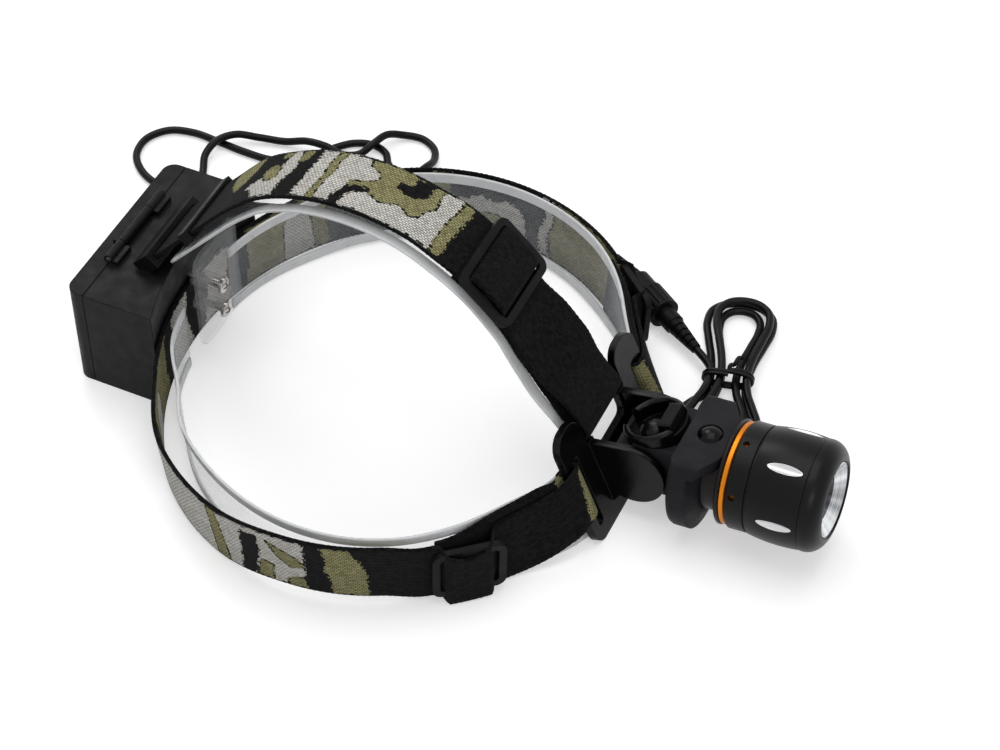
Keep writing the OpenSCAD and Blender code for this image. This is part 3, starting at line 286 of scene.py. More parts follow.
def barrel_metal():
    """Black anodised barrel, with bare bright metal in its scalloped flats."""
    flats, middle, axis_r = 6, 56.7, 22.05
    half_w, half_l, edge, turn = 1.9, 10, 0.12, math.radians(4.4)
    arc = (half_l**2 + half_w**2) / (2 * half_w)
    s = Shader("barrel_metal")
    x, y, z = lamp_place(s)
    angle = s.math("ARCTAN2", y, x)
    step = 2 * math.pi / flats
    folded = s.math("SUBTRACT", s.math("FLOORED_MODULO", s.math("ADD", angle, turn), step), step / 2)
    radius = length(s, x, y)
    out = s.math("SUBTRACT", s.math("MULTIPLY", radius, s.math("COSINE", folded)), axis_r)
    side = s.math("MULTIPLY", radius, s.math("SINE", folded))
    off = length(s, out, side)
    along = s.math("SUBTRACT", z, middle)
    within = s.math("SUBTRACT", arc * arc, s.math("MULTIPLY", along, along))
    lens = s.math("SQRT", s.math("MAXIMUM", within, 0))
    reach = s.math("ADD", lens, half_w - arc + edge)
    bare = s.math("LESS_THAN", off, reach)
    grain = s.noise(1500, 4.0)
    tone = s.blend(s.span(s.noise(50), 0.35, 0.65), rgb(4, 4, 5), rgb(9, 8, 9))
    return s.surface({
        "Base Color": s.blend(bare, tone, rgb(206, 206, 208)),
        "Metallic": s.math("MULTIPLY", bare, 0.9),
        "Roughness": s.span(bare, 0, 1, 0.34, 0.45),
        "Specular IOR Level": 0.15,
        "Normal": s.bump(grain, 0.25, 0.03, s.round_edges(0.3)),
    })


def turned_metal(name, dark, light, rough, metal=1.0, rings=2600, gloss=0.5):
    """Metal turned on a lathe: fine rings round the beam."""
    s = Shader(name)
    x, y, z = lamp_place(s)
    radius = length(s, x, y)
    line = s.add("CombineXYZ", {0: s.math("ADD", radius, z)}).outputs[0]
    ring = s.noise(rings * MM, 5.0, line)
    return s.surface({
        "Base Color": s.blend(ring, dark, light), "Metallic": metal,
        "Roughness": s.span(ring, 0.3, 0.7, rough * 0.8, rough * 1.25), "Specular IOR Level": gloss,
        "Normal": s.bump(ring, 0.2, 0.02, s.round_edges(0.25)),
    })


def clear_plastic(name, tint, face_alpha, edge_alpha, rough, gloss):
    """Clear sheet with faint flow marks, paler and more opaque where it is looked at along its surface: a
    painted reflection at its edges.
    """
    s = Shader(name)
    flow = s.noise(120, 3.0)
    painted_edge_glare = s.add("LayerWeight", {"Blend": 0.5}).outputs["Facing"]
    return s.surface({
        "Base Color": s.blend(s.span(flow, 0.4, 0.6), tint, rgb(214, 216, 218)),
        "Roughness": s.span(flow, 0.3, 0.7, rough * 0.7, rough * 1.4),
        # alpha rises towards grazing view: painted reflection on the sheet's edges
        "Alpha": s.span(painted_edge_glare, 0.55, 1.0, face_alpha, edge_alpha),
        "IOR": 1.5, "Specular IOR Level": gloss, "Normal": s.bump(flow, 0.2, 0.15),
    })


def glass():
    """The lens: nearly clear to look into, with a pale veil that grows towards its edge as seen: a painted
    reflection.
    """
    s = Shader("glass")
    painted_edge_glare = s.add("LayerWeight", {"Blend": 0.5}).outputs["Facing"]
    haze = s.noise(90)
    return s.surface({
        "Base Color": s.blend(haze, rgb(196, 202, 212), rgb(214, 218, 224)),
        # alpha rises towards grazing view: painted reflection on the lens's edge
        "Alpha": s.span(painted_edge_glare, 0.3, 1.0, 0.2, 0.5), "IOR": 1.45, "Specular IOR Level": 0.25,
        "Roughness": s.span(haze, 0.3, 0.7, 0.02, 0.05),
    })


def reflector_metal():
    """The turned and polished cone behind the lens: light and dark rings and sectors round the beam in its
    base colour are painted reflection; the rings also vary its roughness and bumps.
    """
    s = Shader("reflector")
    x, y, z = lamp_place(s)
    radius = length(s, x, y)
    ring = s.noise(2.2, 5.0, s.add("CombineXYZ", {0: radius}).outputs[0])
    angle = s.math("ARCTAN2", y, x)
    around = s.add("CombineXYZ", {0: s.math("COSINE", angle), 1: s.math("SINE", angle)}).outputs[0]
    reflection_sector = s.noise(1.6, 2.0, around)
    painted_reflection = s.math("ADD", s.math("MULTIPLY", ring, 0.35), s.math("MULTIPLY", reflection_sector, 0.65))
    # grey to near-white base colour by rings and sectors: painted reflection in the polished metal
    tone = s.blend(s.span(painted_reflection, 0.36, 0.6), rgb(96, 98, 102), rgb(228, 230, 232))
    return s.surface({
        "Base Color": tone, "Metallic": 1.0, "Roughness": s.span(ring, 0.3, 0.7, 0.16, 0.32),
        "Normal": s.bump(ring, 0.3, 0.05),
    })


def phosphor():
    s = Shader("phosphor")
    spots = s.noise(2500, 2.0)
    return s.surface({"Base Color": s.blend(spots, rgb(226, 190, 60), rgb(240, 215, 110)), "Roughness": 0.3})


def circuit():
    s = Shader("circuit")
    tracks = s.add("TexBrick", {"Vector": s.place(), "Scale": 260.0, "Mortar Size": 0.03}).outputs["Fac"]
    return s.surface({
        "Base Color": s.blend(tracks, rgb(22, 84, 48), rgb(120, 104, 60)), "Roughness": 0.35,
        "Coat Weight": 0.4, "Coat Roughness": 0.1,
    })


STITCH_U, STITCH_V = 1.5, 0.95   # one knitted stitch, along and across the webbing


def webbing_cloth():
    """Knitted elastic. The woven-in colours come from how far each point lies inside each patch."""
    s = Shader("webbing_cloth")
    uv = s.add("Attribute", attribute_name="strap_uv").outputs["Vector"]
    cell = s.vector("FLOOR", s.vector("DIVIDE", uv, (STITCH_U, STITCH_V, 1)))
    chance = s.add("TexWhiteNoise", {"Vector": cell}).outputs["Value"]
    jag = s.span(chance, 0, 1, -0.75, 0.75)
    colour = s.blend(chance, rgb(3, 3, 4), rgb(27, 27, 29))
    for patch, dark, light in (("ivory", rgb(196, 193, 184), rgb(232, 230, 224)),
                               ("olive", rgb(132, 128, 88), rgb(170, 165, 122))):
        inside = s.add("Attribute", attribute_name=patch).outputs["Fac"]
        shown = s.math("LESS_THAN", s.math("ADD", inside, jag), 0)
        colour = s.blend(shown, colour, s.blend(chance, dark, light))
    stitch = s.add("TexBrick", {
        "Vector": uv, "Scale": 1.0, "Mortar Size": 0.24, "Mortar Smooth": 0.8,
        "Brick Width": STITCH_U, "Row Height": STITCH_V}, offset=0.5)
    groove = stitch.outputs["Fac"]
    # the grooves between stitches are darkened: painted shade in the recesses
    colour = s.blend(s.math("MULTIPLY", groove, 0.72), colour, rgb(12, 12, 12))
    fuzz = s.noise(1600, 4.0)
    height = s.math("ADD", s.math("MULTIPLY", groove, -1.0), s.math("MULTIPLY", fuzz, 0.7))
    return s.surface({
        "Base Color": colour, "Roughness": s.span(fuzz, 0, 1, 0.8, 1.0), "Specular IOR Level": 0.06,
        "Sheen Weight": 0.03, "Sheen Roughness": 0.5, "Normal": s.bump(height, 0.6, 0.3),
    })


def white_bead():
    s = Shader("white_bead")
    flow = s.noise(140, 3.0)
    return s.surface({
        "Base Color": s.blend(flow, rgb(214, 216, 218), rgb(238, 239, 240)),
        "Roughness": s.span(flow, 0.3, 0.7, 0.2, 0.4), "Specular IOR Level": 0.5,
        "Alpha": 0.8, "Normal": s.bump(flow, 0.2, 0.2),
    })


gloss_black = moulded("gloss_black", rgb(4, 4, 5), rgb(8, 8, 9), 0.24, 700, 0.04, 0.7, 0.15)
buckle_black = moulded("buckle_black", rgb(12, 12, 14), rgb(20, 20, 22), 0.5, 1100, 0.05, 0.8, 0.1)
collar_grey = moulded("collar_grey", rgb(26, 26, 29), rgb(33, 33, 37), 0.55, 1300, 0.05, 0.5, 0.1)
button_black = moulded("button_black", rgb(2, 2, 2), rgb(4, 4, 5), 0.16, 700, 0.02, 0.4, 0.14)
box_black = moulded("box_black", rgb(10, 10, 11), rgb(16, 16, 18), 0.48, 1000, 0.07, 0.8, 0.12)
rubber_black = moulded("rubber_black", rgb(6, 6, 7), rgb(12, 12, 13), 0.5, 900, 0.05, 0.4, 0.1)
cord_black = moulded("cord_black", rgb(4, 4, 5), rgb(9, 9, 10), 0.34, 500, 0.05, 0.0, 0.14)
anodised_black = turned_metal("anodised_black", rgb(5, 5, 5), rgb(11, 10, 11), 0.32, 0.0, 2600, 0.15)
anodised_brown = turned_metal("anodised_brown", rgb(12, 8, 7), rgb(26, 18, 16), 0.3, 0.0, 2600, 0.16)
gold = turned_metal("gold", rgb(178, 98, 22), rgb(220, 138, 42), 0.4)
steel = moulded("steel", rgb(176, 172, 168), rgb(206, 203, 199), 0.28, 1600, 0.02, 0.2, 0.5, 1.0)
cell_blue = moulded("cell_blue", rgb(30, 70, 130), rgb(44, 90, 156), 0.3, 500, 0.02, 0.3, 0.5)
clear_sheet = clear_plastic("clear_sheet", rgb(186, 190, 194), 0.12, 0.4, 0.16, 0.2)
clear_plate = clear_plastic("clear_plate", rgb(186, 186, 188), 0.07, 0.7, 0.1, 0.35)

NODE_MATERIALS = {
    gloss_black: ["front_bracket", "hinge_cup", "cup_cap", "tilt_latch", "switch_body"],
    buckle_black: ["near_buckle", "far_buckle", "crown_buckle", "strap_keeper"],
    collar_grey: ["lamp_cradle"],
    button_black: ["push_button"],
    box_black: ["battery_box", "battery_lid"],
    rubber_black: ["cord_relief", "box_relief", "plug_body", "coupling_nut", "socket_body", "sleeve_oring",
                   "lens_oring"],
    barrel_metal(): ["focus_barrel"],
    anodised_black: ["bezel", "lens_ring"],
    anodised_brown: ["lamp_tail"],
    gold: ["gold_sleeve"],
    reflector_metal(): ["lens_cone", "led_pillar", "led_board"],
    steel: ["pivot_pin", "pivot_bush", "plate_screws", "lid_pin", "latch_spring", "contact_springs",
            "contact_plates"],
    glass(): ["lens"],
    phosphor(): ["led_dome"],
    circuit(): ["driver_board", "charge_board"],
    cell_blue: ["battery_cells"],
    clear_plate: ["rear_plate"],
}


def dress_nodes():
    """Every CAD node that stays takes its material."""
    for material, names in NODE_MATERIALS.items():
        for name in names:
            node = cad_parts[name]
            node.data.materials.clear()
            node.data.materials.append(material)


dress_nodes()

# ---------------------------------------------------------------- cords

HANK_PLACE = np.array([111.5, 60.5, 0])
HANK_TURN = math.radians(103.6)
HANK_LOOPS = 3
HANK_PITCH = 4
HANK_LOW = 2.5
HANK_STEP = 3.8
HANK_FAR = 38
HANK_NEAR = 27
HANK_WAIST = 2
HANK_LOBE = 14
HANK_LEAD = 0.02           # share of a loop by which its ends run on past the waist
HANK_STEPS = 24            # rings in a loop
TIE_D = 1.7
TIE_STEPS = 28
PLUG_PLACE = np.array([94, 68, 6.6])
PLUG_TURN = math.radians(145.7)
PLUG_DIR = np.array([math.cos(PLUG_TURN), math.sin(PLUG_TURN), 0])
SOCKET_TIP = PLUG_PLACE + 58 * PLUG_DIR
RELIEF_TIP = np.array([101.5, 23.66396, 15.63604])
CELL_X = -103.0973
BOX_TIP = np.array([CELL_X, 53.05, 12.4])
LIE = 1.7                  # a cord lying on the surface
OVER = 5.3                 # a cord crossing another


def on_hank(x, y, z):
    """A point given along, across and above the hank."""
    cos_t, sin_t = math.cos(HANK_TURN), math.sin(HANK_TURN)
    return HANK_PLACE + np.array([x * cos_t - y * sin_t, x * sin_t + y * cos_t, z])


def hank_point(t):
    """A point of the tied hank after t loops: alike loops, drawn in at the waist, in two layers."""
    a = math.radians(270 + 360 * t)
    c = math.cos(a)
    o = HANK_PITCH * abs(HANK_LOOPS / 2 - t)
    x = ((HANK_FAR if c >= 0 else HANK_NEAR) + o) * c
    y = -math.sin(a) * (HANK_WAIST + o + (HANK_LOBE + (1.6 if c >= 0 else 2) * o) * c * c)
    z = HANK_LOW + HANK_STEP * ease((t - HANK_LOOPS / 2 + 0.25) * 2)
    return on_hank(x, y, z)


HANK = [hank_point(-HANK_LEAD)]
HANK += [hank_point(i / HANK_STEPS) for i in range(HANK_STEPS * HANK_LOOPS)]
HANK += [hank_point(HANK_LOOPS - HANK_LEAD)]
HANK_IN = (HANK[1] - HANK[0]) / np.linalg.norm(HANK[1] - HANK[0])
HANK_RUN = 1.05 * CORD_D * np.array([math.cos(HANK_TURN), math.sin(HANK_TURN), 0])
LAMP_ROUTE = [
    RELIEF_TIP, RELIEF_TIP + [0, 2.4, -2.4], [100.4, 30, 9.8], [99.2, 34.8, 4.2], [99.4, 40, 2.5],
    [101.6, 45.6, 2.5], HANK[0] - 1.05 * CORD_D * HANK_IN, *HANK, HANK[-1] + HANK_RUN,
    HANK[-1] + 1.95 * HANK_RUN, [100, 63.9, 6.4], PLUG_PLACE - 3.4 * PLUG_DIR, PLUG_PLACE,
]
BATTERY_ROUTE = [
    SOCKET_TIP, SOCKET_TIP + 3.4 * PLUG_DIR, [37, 105.5, 4.6], [30, 108, 2.4], [20, 109.5, LIE],
    [6, 110, LIE], [-8, 110, LIE], [-22, 110.5, LIE], [-36, 111.5, LIE], [-48, 112.5, LIE],
    [-57, 113, LIE], [-63, 116.5, LIE], [-67, 122, LIE], [-74, 124.5, LIE], [-82, 122, LIE],
    [-88, 116, LIE], [-93, 109, LIE], [-99, 102, LIE], [-108, 98.5, LIE], [-121, 98, LIE],
    [-134, 99, LIE], [-146, 99.5, LIE], [-156, 96.5, LIE], [-162, 88, LIE], [-161, 78, LIE],
    [-154, 70, LIE], [-143, 65.5, LIE], [-133, 66.5, LIE], [-128, 73, LIE], [-131, 81, LIE],
    [-134, 88.5, 3.2], [-132.5, 96, OVER], [-127.5, 102.5, OVER], [-119, 107, 3.2], [-108, 110, 2.6],
    [-98, 111.5, OVER], [-90, 112, OVER], [-82, 112.5, 3], [-76, 116, 3], [-72.5, 122, OVER],
    [-70, 129, OVER], [-65, 134.5, 2.6], [-57, 136.5, LIE], [-50, 133, LIE], [-46.5, 126, 2.6],
    [-46.5, 117.5, OVER], [-49, 109.5, OVER], [-53.5, 101, 2.8], [-61, 92, LIE], [-70, 84, LIE],
    [-80, 78, LIE], [-89.5, 74, 2.6], [-96.5, 68.5, 5.4], [CELL_X + 1.2, 62, 9.8],
    BOX_TIP + [0, 3.4, 0], BOX_TIP,
]


def tie_line():
    """A thin cord wound twice round the waist of the hank, with its two ends twisted together on top."""
    left = HANK_WAIST + 1.5 * HANK_PITCH + CORD_D / 2 + 0.8
    right = -HANK_WAIST - HANK_PITCH - CORD_D / 2 - 0.6
    low, high = HANK_LOW - CORD_D / 2 + TIE_D / 2 - 0.6, HANK_LOW + HANK_STEP + CORD_D / 2 + TIE_D / 2
    points = []
    for i in range(2 * TIE_STEPS + 1):
        a = 2 * math.pi * i / TIE_STEPS
        wide, tall = np.sign(math.sin(a)) * abs(math.sin(a)) ** 0.6, math.cos(a)
        points.append([mix(-1.6, 1.6, i / (2 * TIE_STEPS)), (left + right) / 2 + wide * (left - right) / 2,
                       (low + high) / 2 + tall * (high - low) / 2])
    for i in range(1, 13):
        a = i * 1.1
        points.append([1.6 + 0.75 * i + 0.6 * math.sin(a), (left + right) / 2 - 0.45 * i,
                       high + 0.5 + 0.6 * math.cos(a)])
    return [on_hank(*point) for point in points]


hank_cord = cord_curve("hank_cord", smooth_through(tie_line(), 0.6), TIE_D / 2, cord_black)
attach(hank_cord, "headset")
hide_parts("hank_tie")

lamp_line = smooth_through(LAMP_ROUTE, 1.5)
lamp_lead = cord_curve("lamp_lead", lamp_line, CORD_D / 2, cord_black)
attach(lamp_lead, "headset")
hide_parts("lamp_cord", "cord_hank", "plug_cord")

battery_line = smooth_through(BATTERY_ROUTE, 1.5)[::-1]
battery_lead = cord_curve("battery_lead", battery_line, CORD_D / 2, cord_black)
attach(battery_lead, "headset")
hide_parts("battery_cord")

# ---------------------------------------------------------------- lines of the bands


def from_front(q):
    w = abs(q) % 360
    return min(w, 360 - w)


def plate_point(depth, along):
    """A point in the middle of the bracket plate: depth out of its face, along its slope."""
    return np.array([PLATE_X + depth * LEAN_C - along * LEAN_S, 0, depth * LEAN_S + along * LEAN_C])


def flare(f):
    lean = math.degrees(LEAN)
    return mix(-lean, SIDE_FLARE, ease((f - 8) / 52)) * (1 - ease((f - 128) / 22))


def past_plate(q, run):
    return min(max((abs(HOOP_B * math.sin(math.radians(q))) - PLATE_HALF - 0.5) / run, 0), 1)


def at_plate(q, run):
    return 1 - ease(past_plate(q, run))


def on_front(q):
    return (1 - past_plate(q, 26)) ** 2 if from_front(q) < 70 else 0


def hoop_foot(q):
    """The lower edge of the head band at the angle q round it from straight ahead."""
    a, f = math.radians(q), from_front(q)
    free = np.array([HOOP_A * math.cos(a) + FRONT_REACH * (1 - ease((f - 20) / 40)),
                     HOOP_B * math.sin(a), HEM_Z])
    held = plate_point(OVER_PLATE, SLOT_FOOT)
    held[1] = free[1]
    return mix(free, held, on_front(q))


def hoop_up(q):
    a = math.radians(q)
    n = unit([math.cos(a) / HOOP_A, math.sin(a) / HOOP_B, 0])
    lean = math.radians(flare(from_front(q)))
    free = np.array([n[0] * math.sin(lean), n[1] * math.sin(lean), math.cos(lean)])
    return unit(mix(free, np.array([-LEAN_S, 0, LEAN_C]), on_front(q)))


def near_raise(q):
    """The near side of the head band rides a little higher between the box and its slide."""
    if not -180 < q < 0:
        return 0
    return NEAR_RAISE * ease((q + 108) / 22) * (1 - ease((q + 65) / 10))


def hoop_out(q):
    return unit(np.cross(hoop_foot(q + 0.5) - hoop_foot(q - 0.5), hoop_up(q)))


def hoop_row(q, inset=0.0, raised=0.0):
    """One station of a band round the head: foot, up across its width, and out."""
    up, out = hoop_up(q), hoop_out(q)
    return np.concatenate([hoop_foot(q) + raised * up - inset * out, up, out])


def slot_row(depth, y, turn):
    """One station of the webbing beside the plate, turned by an angle as it goes round the bar."""
    foot = plate_point(depth, SLOT_FOOT)
    side = 1 if y > 0 else -1
    c, s = math.cos(math.radians(turn)), math.sin(math.radians(turn))
    return np.array([foot[0], y, foot[2], -LEAN_S, 0, LEAN_C, LEAN_C * c, -side * s, LEAN_S * c])


TURN_Y = CORNER_Y - OVER_PLATE
HALF_TURN = OVER_PLATE * math.cos(math.pi / 4)
EDGE_Q = math.degrees(math.asin((PLATE_HALF + 0.5) / HOOP_B))


def slot_front(side):
    return [slot_row(-PLATE_T / 2, side * TURN_Y, 90), slot_row(0, side * TURN_Y, 90),
            slot_row(HALF_TURN, side * (CORNER_Y - HALF_TURN), 45), slot_row(OVER_PLATE, side * CORNER_Y, 0)]


def slot_back(side):
    """Behind the plate the webbing's outer face looks the other way, so out is turned round."""
    rows = [slot_row(-PLATE_T / 2 - 0.05, side * TURN_Y, 90), slot_row(-PLATE_T, side * TURN_Y, 90),
            slot_row(-PLATE_T - HALF_TURN, side * (CORNER_Y - HALF_TURN), 135),
            slot_row(-PLATE_T - OVER_PLATE, side * CORNER_Y, 180)]
    for row in rows:
        row[6:] *= -1
    return rows


def crown_mid(a, run=0.0):
    """The crown line by its angle from the top, positive to the front, and the straight run past it."""
    r, ahead = (CROWN_R_FRONT, 1) if a >= 0 else (CROWN_R_REAR, -1)
    t = math.radians(a)
    return np.array([-CROWN_BACK + r * math.sin(t) + ahead * run * math.cos(t), 0,
                     CROWN_Z - r * (1 - math.cos(t)) - run * abs(math.sin(t))])


def crown_roll(x):
    """The crown band's twist about its own line, which is none at the bar, at the slide and at the box."""
    front = ROLL_FRONT * ease((x - 52) / 9) * (1 - ease((x - 67) / 9))
    back = ROLL_BACK * ease((26 - x) / 14) * ease((x + 58) / 14)
    return math.radians(front + back)


def crown_row(a, run=0.0, inset=0.0, width=STRAP_W):
    t = math.radians(a)
    flat = np.array([math.sin(t), 0, math.cos(t)])
    roll = crown_roll(crown_mid(a, run)[0])
    up = np.array([0, math.cos(roll), 0]) + math.sin(roll) * flat
    out = math.cos(roll) * flat - [0, math.sin(roll), 0]
    return np.concatenate([crown_mid(a, run) - inset * out - width / 2 * up, up, out])


BAR = plate_point(BAR_X, BAR_L)
ARC_END = crown_mid(DIP_FRONT)
DIP_C, DIP_S = math.cos(math.radians(DIP_FRONT)), math.sin(math.radians(DIP_FRONT))
WRAP_R = (ARC_END[0] - BAR[0]) * DIP_S + (ARC_END[2] - BAR[2]) * DIP_C
WRAP_RUN = (BAR[0] - ARC_END[0]) * DIP_C - (BAR[2] - ARC_END[2]) * DIP_S
REAR_RUN = (crown_mid(-DIP_REAR)[2] - BOX_H - 1.5) / math.sin(math.radians(DIP_REAR))


def wrap_row(turn):
    t = math.radians(turn)
    out = np.array([math.cos(t), 0, math.sin(t)])
    return np.concatenate([BAR + WRAP_R * out - [0, STRAP_W / 2, 0], [0, 1, 0], out])


# ---------------------------------------------------------------- ribbons


def profile(width, thick, columns):
    """Round-edged outline of a ribbon, as across, out and which face: 1 outer, -1 inner."""
    r = thick / 2
    flat = np.linspace(r, width - r, columns)
    edge = np.radians(np.linspace(60, -60, 5))
    top = [(width - r + r * math.cos(a), r * math.sin(a), math.sin(a)) for a in edge]
    low = [(r - r * math.cos(a), r * math.sin(a), math.sin(a)) for a in edge[::-1]]
    outer = [(v, r, 1) for v in flat]
    inner = [(v, -r, -1) for v in flat[::-1]]
    return np.array(outer + top + inner + low)


def ribbon(name, rows, width, thick, material, step=1.0, columns=22, frames=(), ripple=0.0):
    """A ribbon along stations of foot, up and out, with its own coordinates kept as an attribute.

    frames are the places where it is drawn in: place, direction along the band, lift over the bar, the
    lower and upper edge there, half the length that is lifted and half the length that narrows."""
    rows = smooth_through(rows, step)
    foot, up, out = rows[:, :3], rows[:, 3:6], rows[:, 6:9]
    middle = foot + up * width / 2
    u = np.concatenate([[0], np.cumsum(np.linalg.norm(np.diff(middle, axis=0), axis=1))])
    shape = profile(width, thick, columns)
    n, m = len(u), len(shape)
    across, depth, face = shape[:, 0], shape[:, 1], shape[:, 2]
    wave = ripple * np.sin(2 * math.pi * u / RIPPLE_LENGTH)
    v = across[None, :] + wave[:, None] * (2 * across / width - 1)[None, :]
    away = np.repeat(depth[None, :], n, axis=0)
    flat_v = v.copy()
    for place, along, high, low, top, lifted, narrowed in frames:
        x = np.abs((middle - place) @ along)
        x[np.linalg.norm(middle - place, axis=1) > narrowed + 6] = narrowed
        over = np.clip((lifted - x) / SLIDE_RAMP, 0, 1)[:, None]
        away = away + high * over * over * (3 - 2 * over)
        drawn = (0.5 + 0.5 * np.cos(math.pi * np.clip(x / narrowed, 0, 1)))[:, None]
        v = v + drawn * (low + flat_v * (top - low) / width - flat_v)
    verts = foot[:, None, :] + up[:, None, :] * v[:, :, None] + out[:, None, :] * away[:, :, None]
    faces = [(i * m + k, i * m + (k + 1) % m, (i + 1) * m + (k + 1) % m, (i + 1) * m + k)
             for i in range(n - 1) for k in range(m)]
    faces += [tuple(range(m))[::-1], tuple((n - 1) * m + k for k in range(m))]
    obj = mesh_object(name, verts.reshape(-1, 3), faces, material)
    uv = np.stack([u[:, None] + 0 * v, flat_v, np.repeat(face[None, :], n, axis=0)], axis=-1).reshape(-1, 3)
    held = obj.data.attributes.new("strap_uv", "FLOAT_VECTOR", "POINT")
    held.data.foreach_set("vector", uv.astype(np.float32).ravel())
    return obj, uv


def outside_by(u, v, outline):
    """How far outside an outline each point lies, and below 0 inside it."""
    best = np.full(len(u), 1e3)
    inside = np.zeros(len(u), bool)
    for (u0, v0), (u1, v1) in zip(outline, outline[1:] + outline[:1]):
        du, dv = u1 - u0, v1 - v0
        t = np.clip(((u - u0) * du + (v - v0) * dv) / max(du * du + dv * dv, 1e-9), 0, 1)
        best = np.minimum(best, np.hypot(u - u0 - t * du, v - v0 - t * dv))
        if dv:
            inside ^= ((v0 > v) != (v1 > v)) & (u < u0 + (v - v0) * du / dv)
    return np.where(inside, -best, best)


def block(colour, u0, u1, v0=-3, v1=33):
    return (colour, [(u0, v0), (u1, v0), (u1, v1), (u0, v1)])


def mirrored(patches, total):
    return [(colour, [(total - u, v) for u, v in outline]) for colour, outline in patches]


SELVEDGE = 1.2


def paint(obj, uv, outer, inner, width=STRAP_W):
    """Stores how far each point lies outside the patches of each colour, and below 0 inside them.

    Later patches cover earlier ones, and both edges of the webbing stay black."""
    u, v, face = uv.T
    fields = {c: np.full(len(u), 50.0) for c in ("ivory", "olive")}
    for patches, here in ((outer, face > -0.5), (inner, face <= -0.5)):
        for colour, outline in patches:
            d = outside_by(u[here], v[here], outline)
            for c, field in fields.items():
                field[here] = np.minimum(field[here], d) if c == colour else np.maximum(field[here], -d)
    edge = np.maximum(SELVEDGE - v, v - (width - SELVEDGE))
    for c, field in fields.items():
        held = obj.data.attributes.new(c, "FLOAT", "POINT")
        held.data.foreach_set("value", np.maximum(field, edge).astype(np.float32))


# Woven-in patches as colour and outline, in millimetres along and across the band. The ground is black.
NEAR_PATCHES = [
    ("ivory", [(345, -3), (353, 8), (348, 18), (356, 33), (433, 33), (433, -3)]),
    ("olive", [(392, 33), (396, 33), (401, -3), (394, -3)]),
    ("black", [(408, 26), (415, 26), (416, 18), (413, 4), (411, -3), (406, -3), (407, 10)]),
    ("olive", [(419, 25), (425, 22), (430, 19), (433, 15), (428, 12), (422, 18)]),
    ("olive", [(414, -3), (414, 5), (416, 12), (421, 11), (420, 4), (421, -3)]),
    ("olive", [(426, -3), (426, 5), (433, 8), (433, -3)]),
    block("black", 433, 441),
    ("olive", [(438, 33), (446, 33), (453, 22), (455, 15), (456, -3), (443, -3), (442, 10), (440, 15),
               (441, 22)]),
    ("olive", [(538, -3), (541, 15), (543, 33), (548, 33), (548, -3)]),
]
REAR_PATCHES = [
    ("olive", [(262, -3), (266, 12), (263, 20), (268, 33), (288, 33), (284, 20), (291, 12), (287, -3)]),
    ("ivory", [(291, -3), (296, 14), (293, 24), (297, 33), (318, 33), (314, 22), (320, 10), (313, -3)]),
    ("black", [(301, 6), (305, 16), (303, 27), (309, 26), (311, 14), (308, 5)]),
    ("olive", [(326, 33), (329, 22), (337, 18), (341, 6), (339, -3), (331, -3), (326, 10), (321, 20),
               (322, 33)]),
]
INNER_PATCHES = [
    block("ivory", 46, 64),
    ("olive", [(62, -3), (64, 12), (61, 20), (64, 33), (106, 33), (104, 20), (107, 12), (104, -3)]),
    ("ivory", [(105, -3), (108, 10), (105, 20), (107, 33), (111, 33), (109, 20), (112, 10), (110, -3)]),
    ("ivory", [(116, -3), (118, 9), (119, 15), (122, 18), (127, 20), (130, 18), (134, 18), (138, 20),
               (142, 18), (146, 17), (151, 18), (153, 8), (150, -3)]),
    ("olive", [(124, -3), (125, 6), (130, 12), (136, 12), (141, 8), (143, -3)]),
    ("olive", [(150, 33), (151, 18), (156, 16), (159, 25), (158, 33)]),
    ("olive", [(160, -3), (163, 12), (170, 20), (176, 14), (174, -3)]),
    ("ivory", [(176, 33), (177, 22), (184, 17), (191, 21), (193, 33)]),
    ("olive", [(201, -3), (203, 14), (200, 33), (244, 33), (241, 14), (243, -3)]),
    ("ivory", [(208, -3), (209, 17), (213, 24), (218, 25), (222, 20), (223, -3)]),
    ("black", [(240, 9), (241, 28), (245, 28), (246, 10)]),
    ("ivory", [(250, -3), (253, 15), (250, 33), (268, 33), (265, 18), (270, -3)]),
]
CROWN_PATCHES = [
    block("ivory", 97, 155),
    ("olive", [(93, 33), (97, 33), (99, 20), (100, 14), (100, 5), (99, -3), (96, -3), (95, 14), (94, 22)]),
    ("olive", [(106, 33), (137, 33), (134, 25), (130, 23), (128, 20), (131, 17), (137, 15), (138, 12),
               (132, 12), (128, 11), (124, 9), (121, 10), (117, 12), (112, 9), (109, 11), (108, 15),
               (105, 19), (106, 23)]),
    ("black", [(110, 28), (117, 28), (116, 24), (121, 22), (122, 20), (119, 18), (114, 18), (110, 21)]),
    ("black", [(129, 13), (134, 14), (138, 11), (140, 6), (140, -3), (136, -3), (136, 6), (133, 10),
               (129, 11)]),
    ("olive", [(143, 33), (148, 33), (149, 21), (148, 13), (149, -3), (146, -3), (146, 13), (145, 19),
               (146, 24)]),
    ("black", [(155, 33), (159, 33), (160, 21), (163, 16), (165, 9), (164, -3), (160, -3), (161, 13),
               (157, 18), (155, 21)]),
    ("olive", [(158, 33), (164, 33), (165, 24), (163, 21), (160, 23)]),
    ("ivory", [(163, -3), (164, 10), (162, 17), (165, 33), (168, 33), (170, 18), (182, 10), (176, 6),
               (170, -3)]),
    ("olive", [(167, 33), (174, 33), (172, 25), (169, 26)]),
    ("olive", [(169, 19), (173, 21), (176, 20), (176, 15), (172, 11), (168, 13)]),
    ("olive", [(182, 33), (199, 33), (200, 23), (194, 15), (190, 12), (186, 16), (184, 21)]),
]


# ---------------------------------------------------------------- bands

webbing = webbing_cloth()
bead = white_bead()


def soft_piece(obj, nodes):
    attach(obj, "headset")
    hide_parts(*nodes)


def side_slide(q):
    """A slide on the head band, as ribbon() takes it."""
    place = hoop_foot(q) + hoop_up(q) * STRAP_W / 2
    return (place, unit(hoop_foot(q + 1) - hoop_foot(q - 1)), *SIDE_SLIDE)


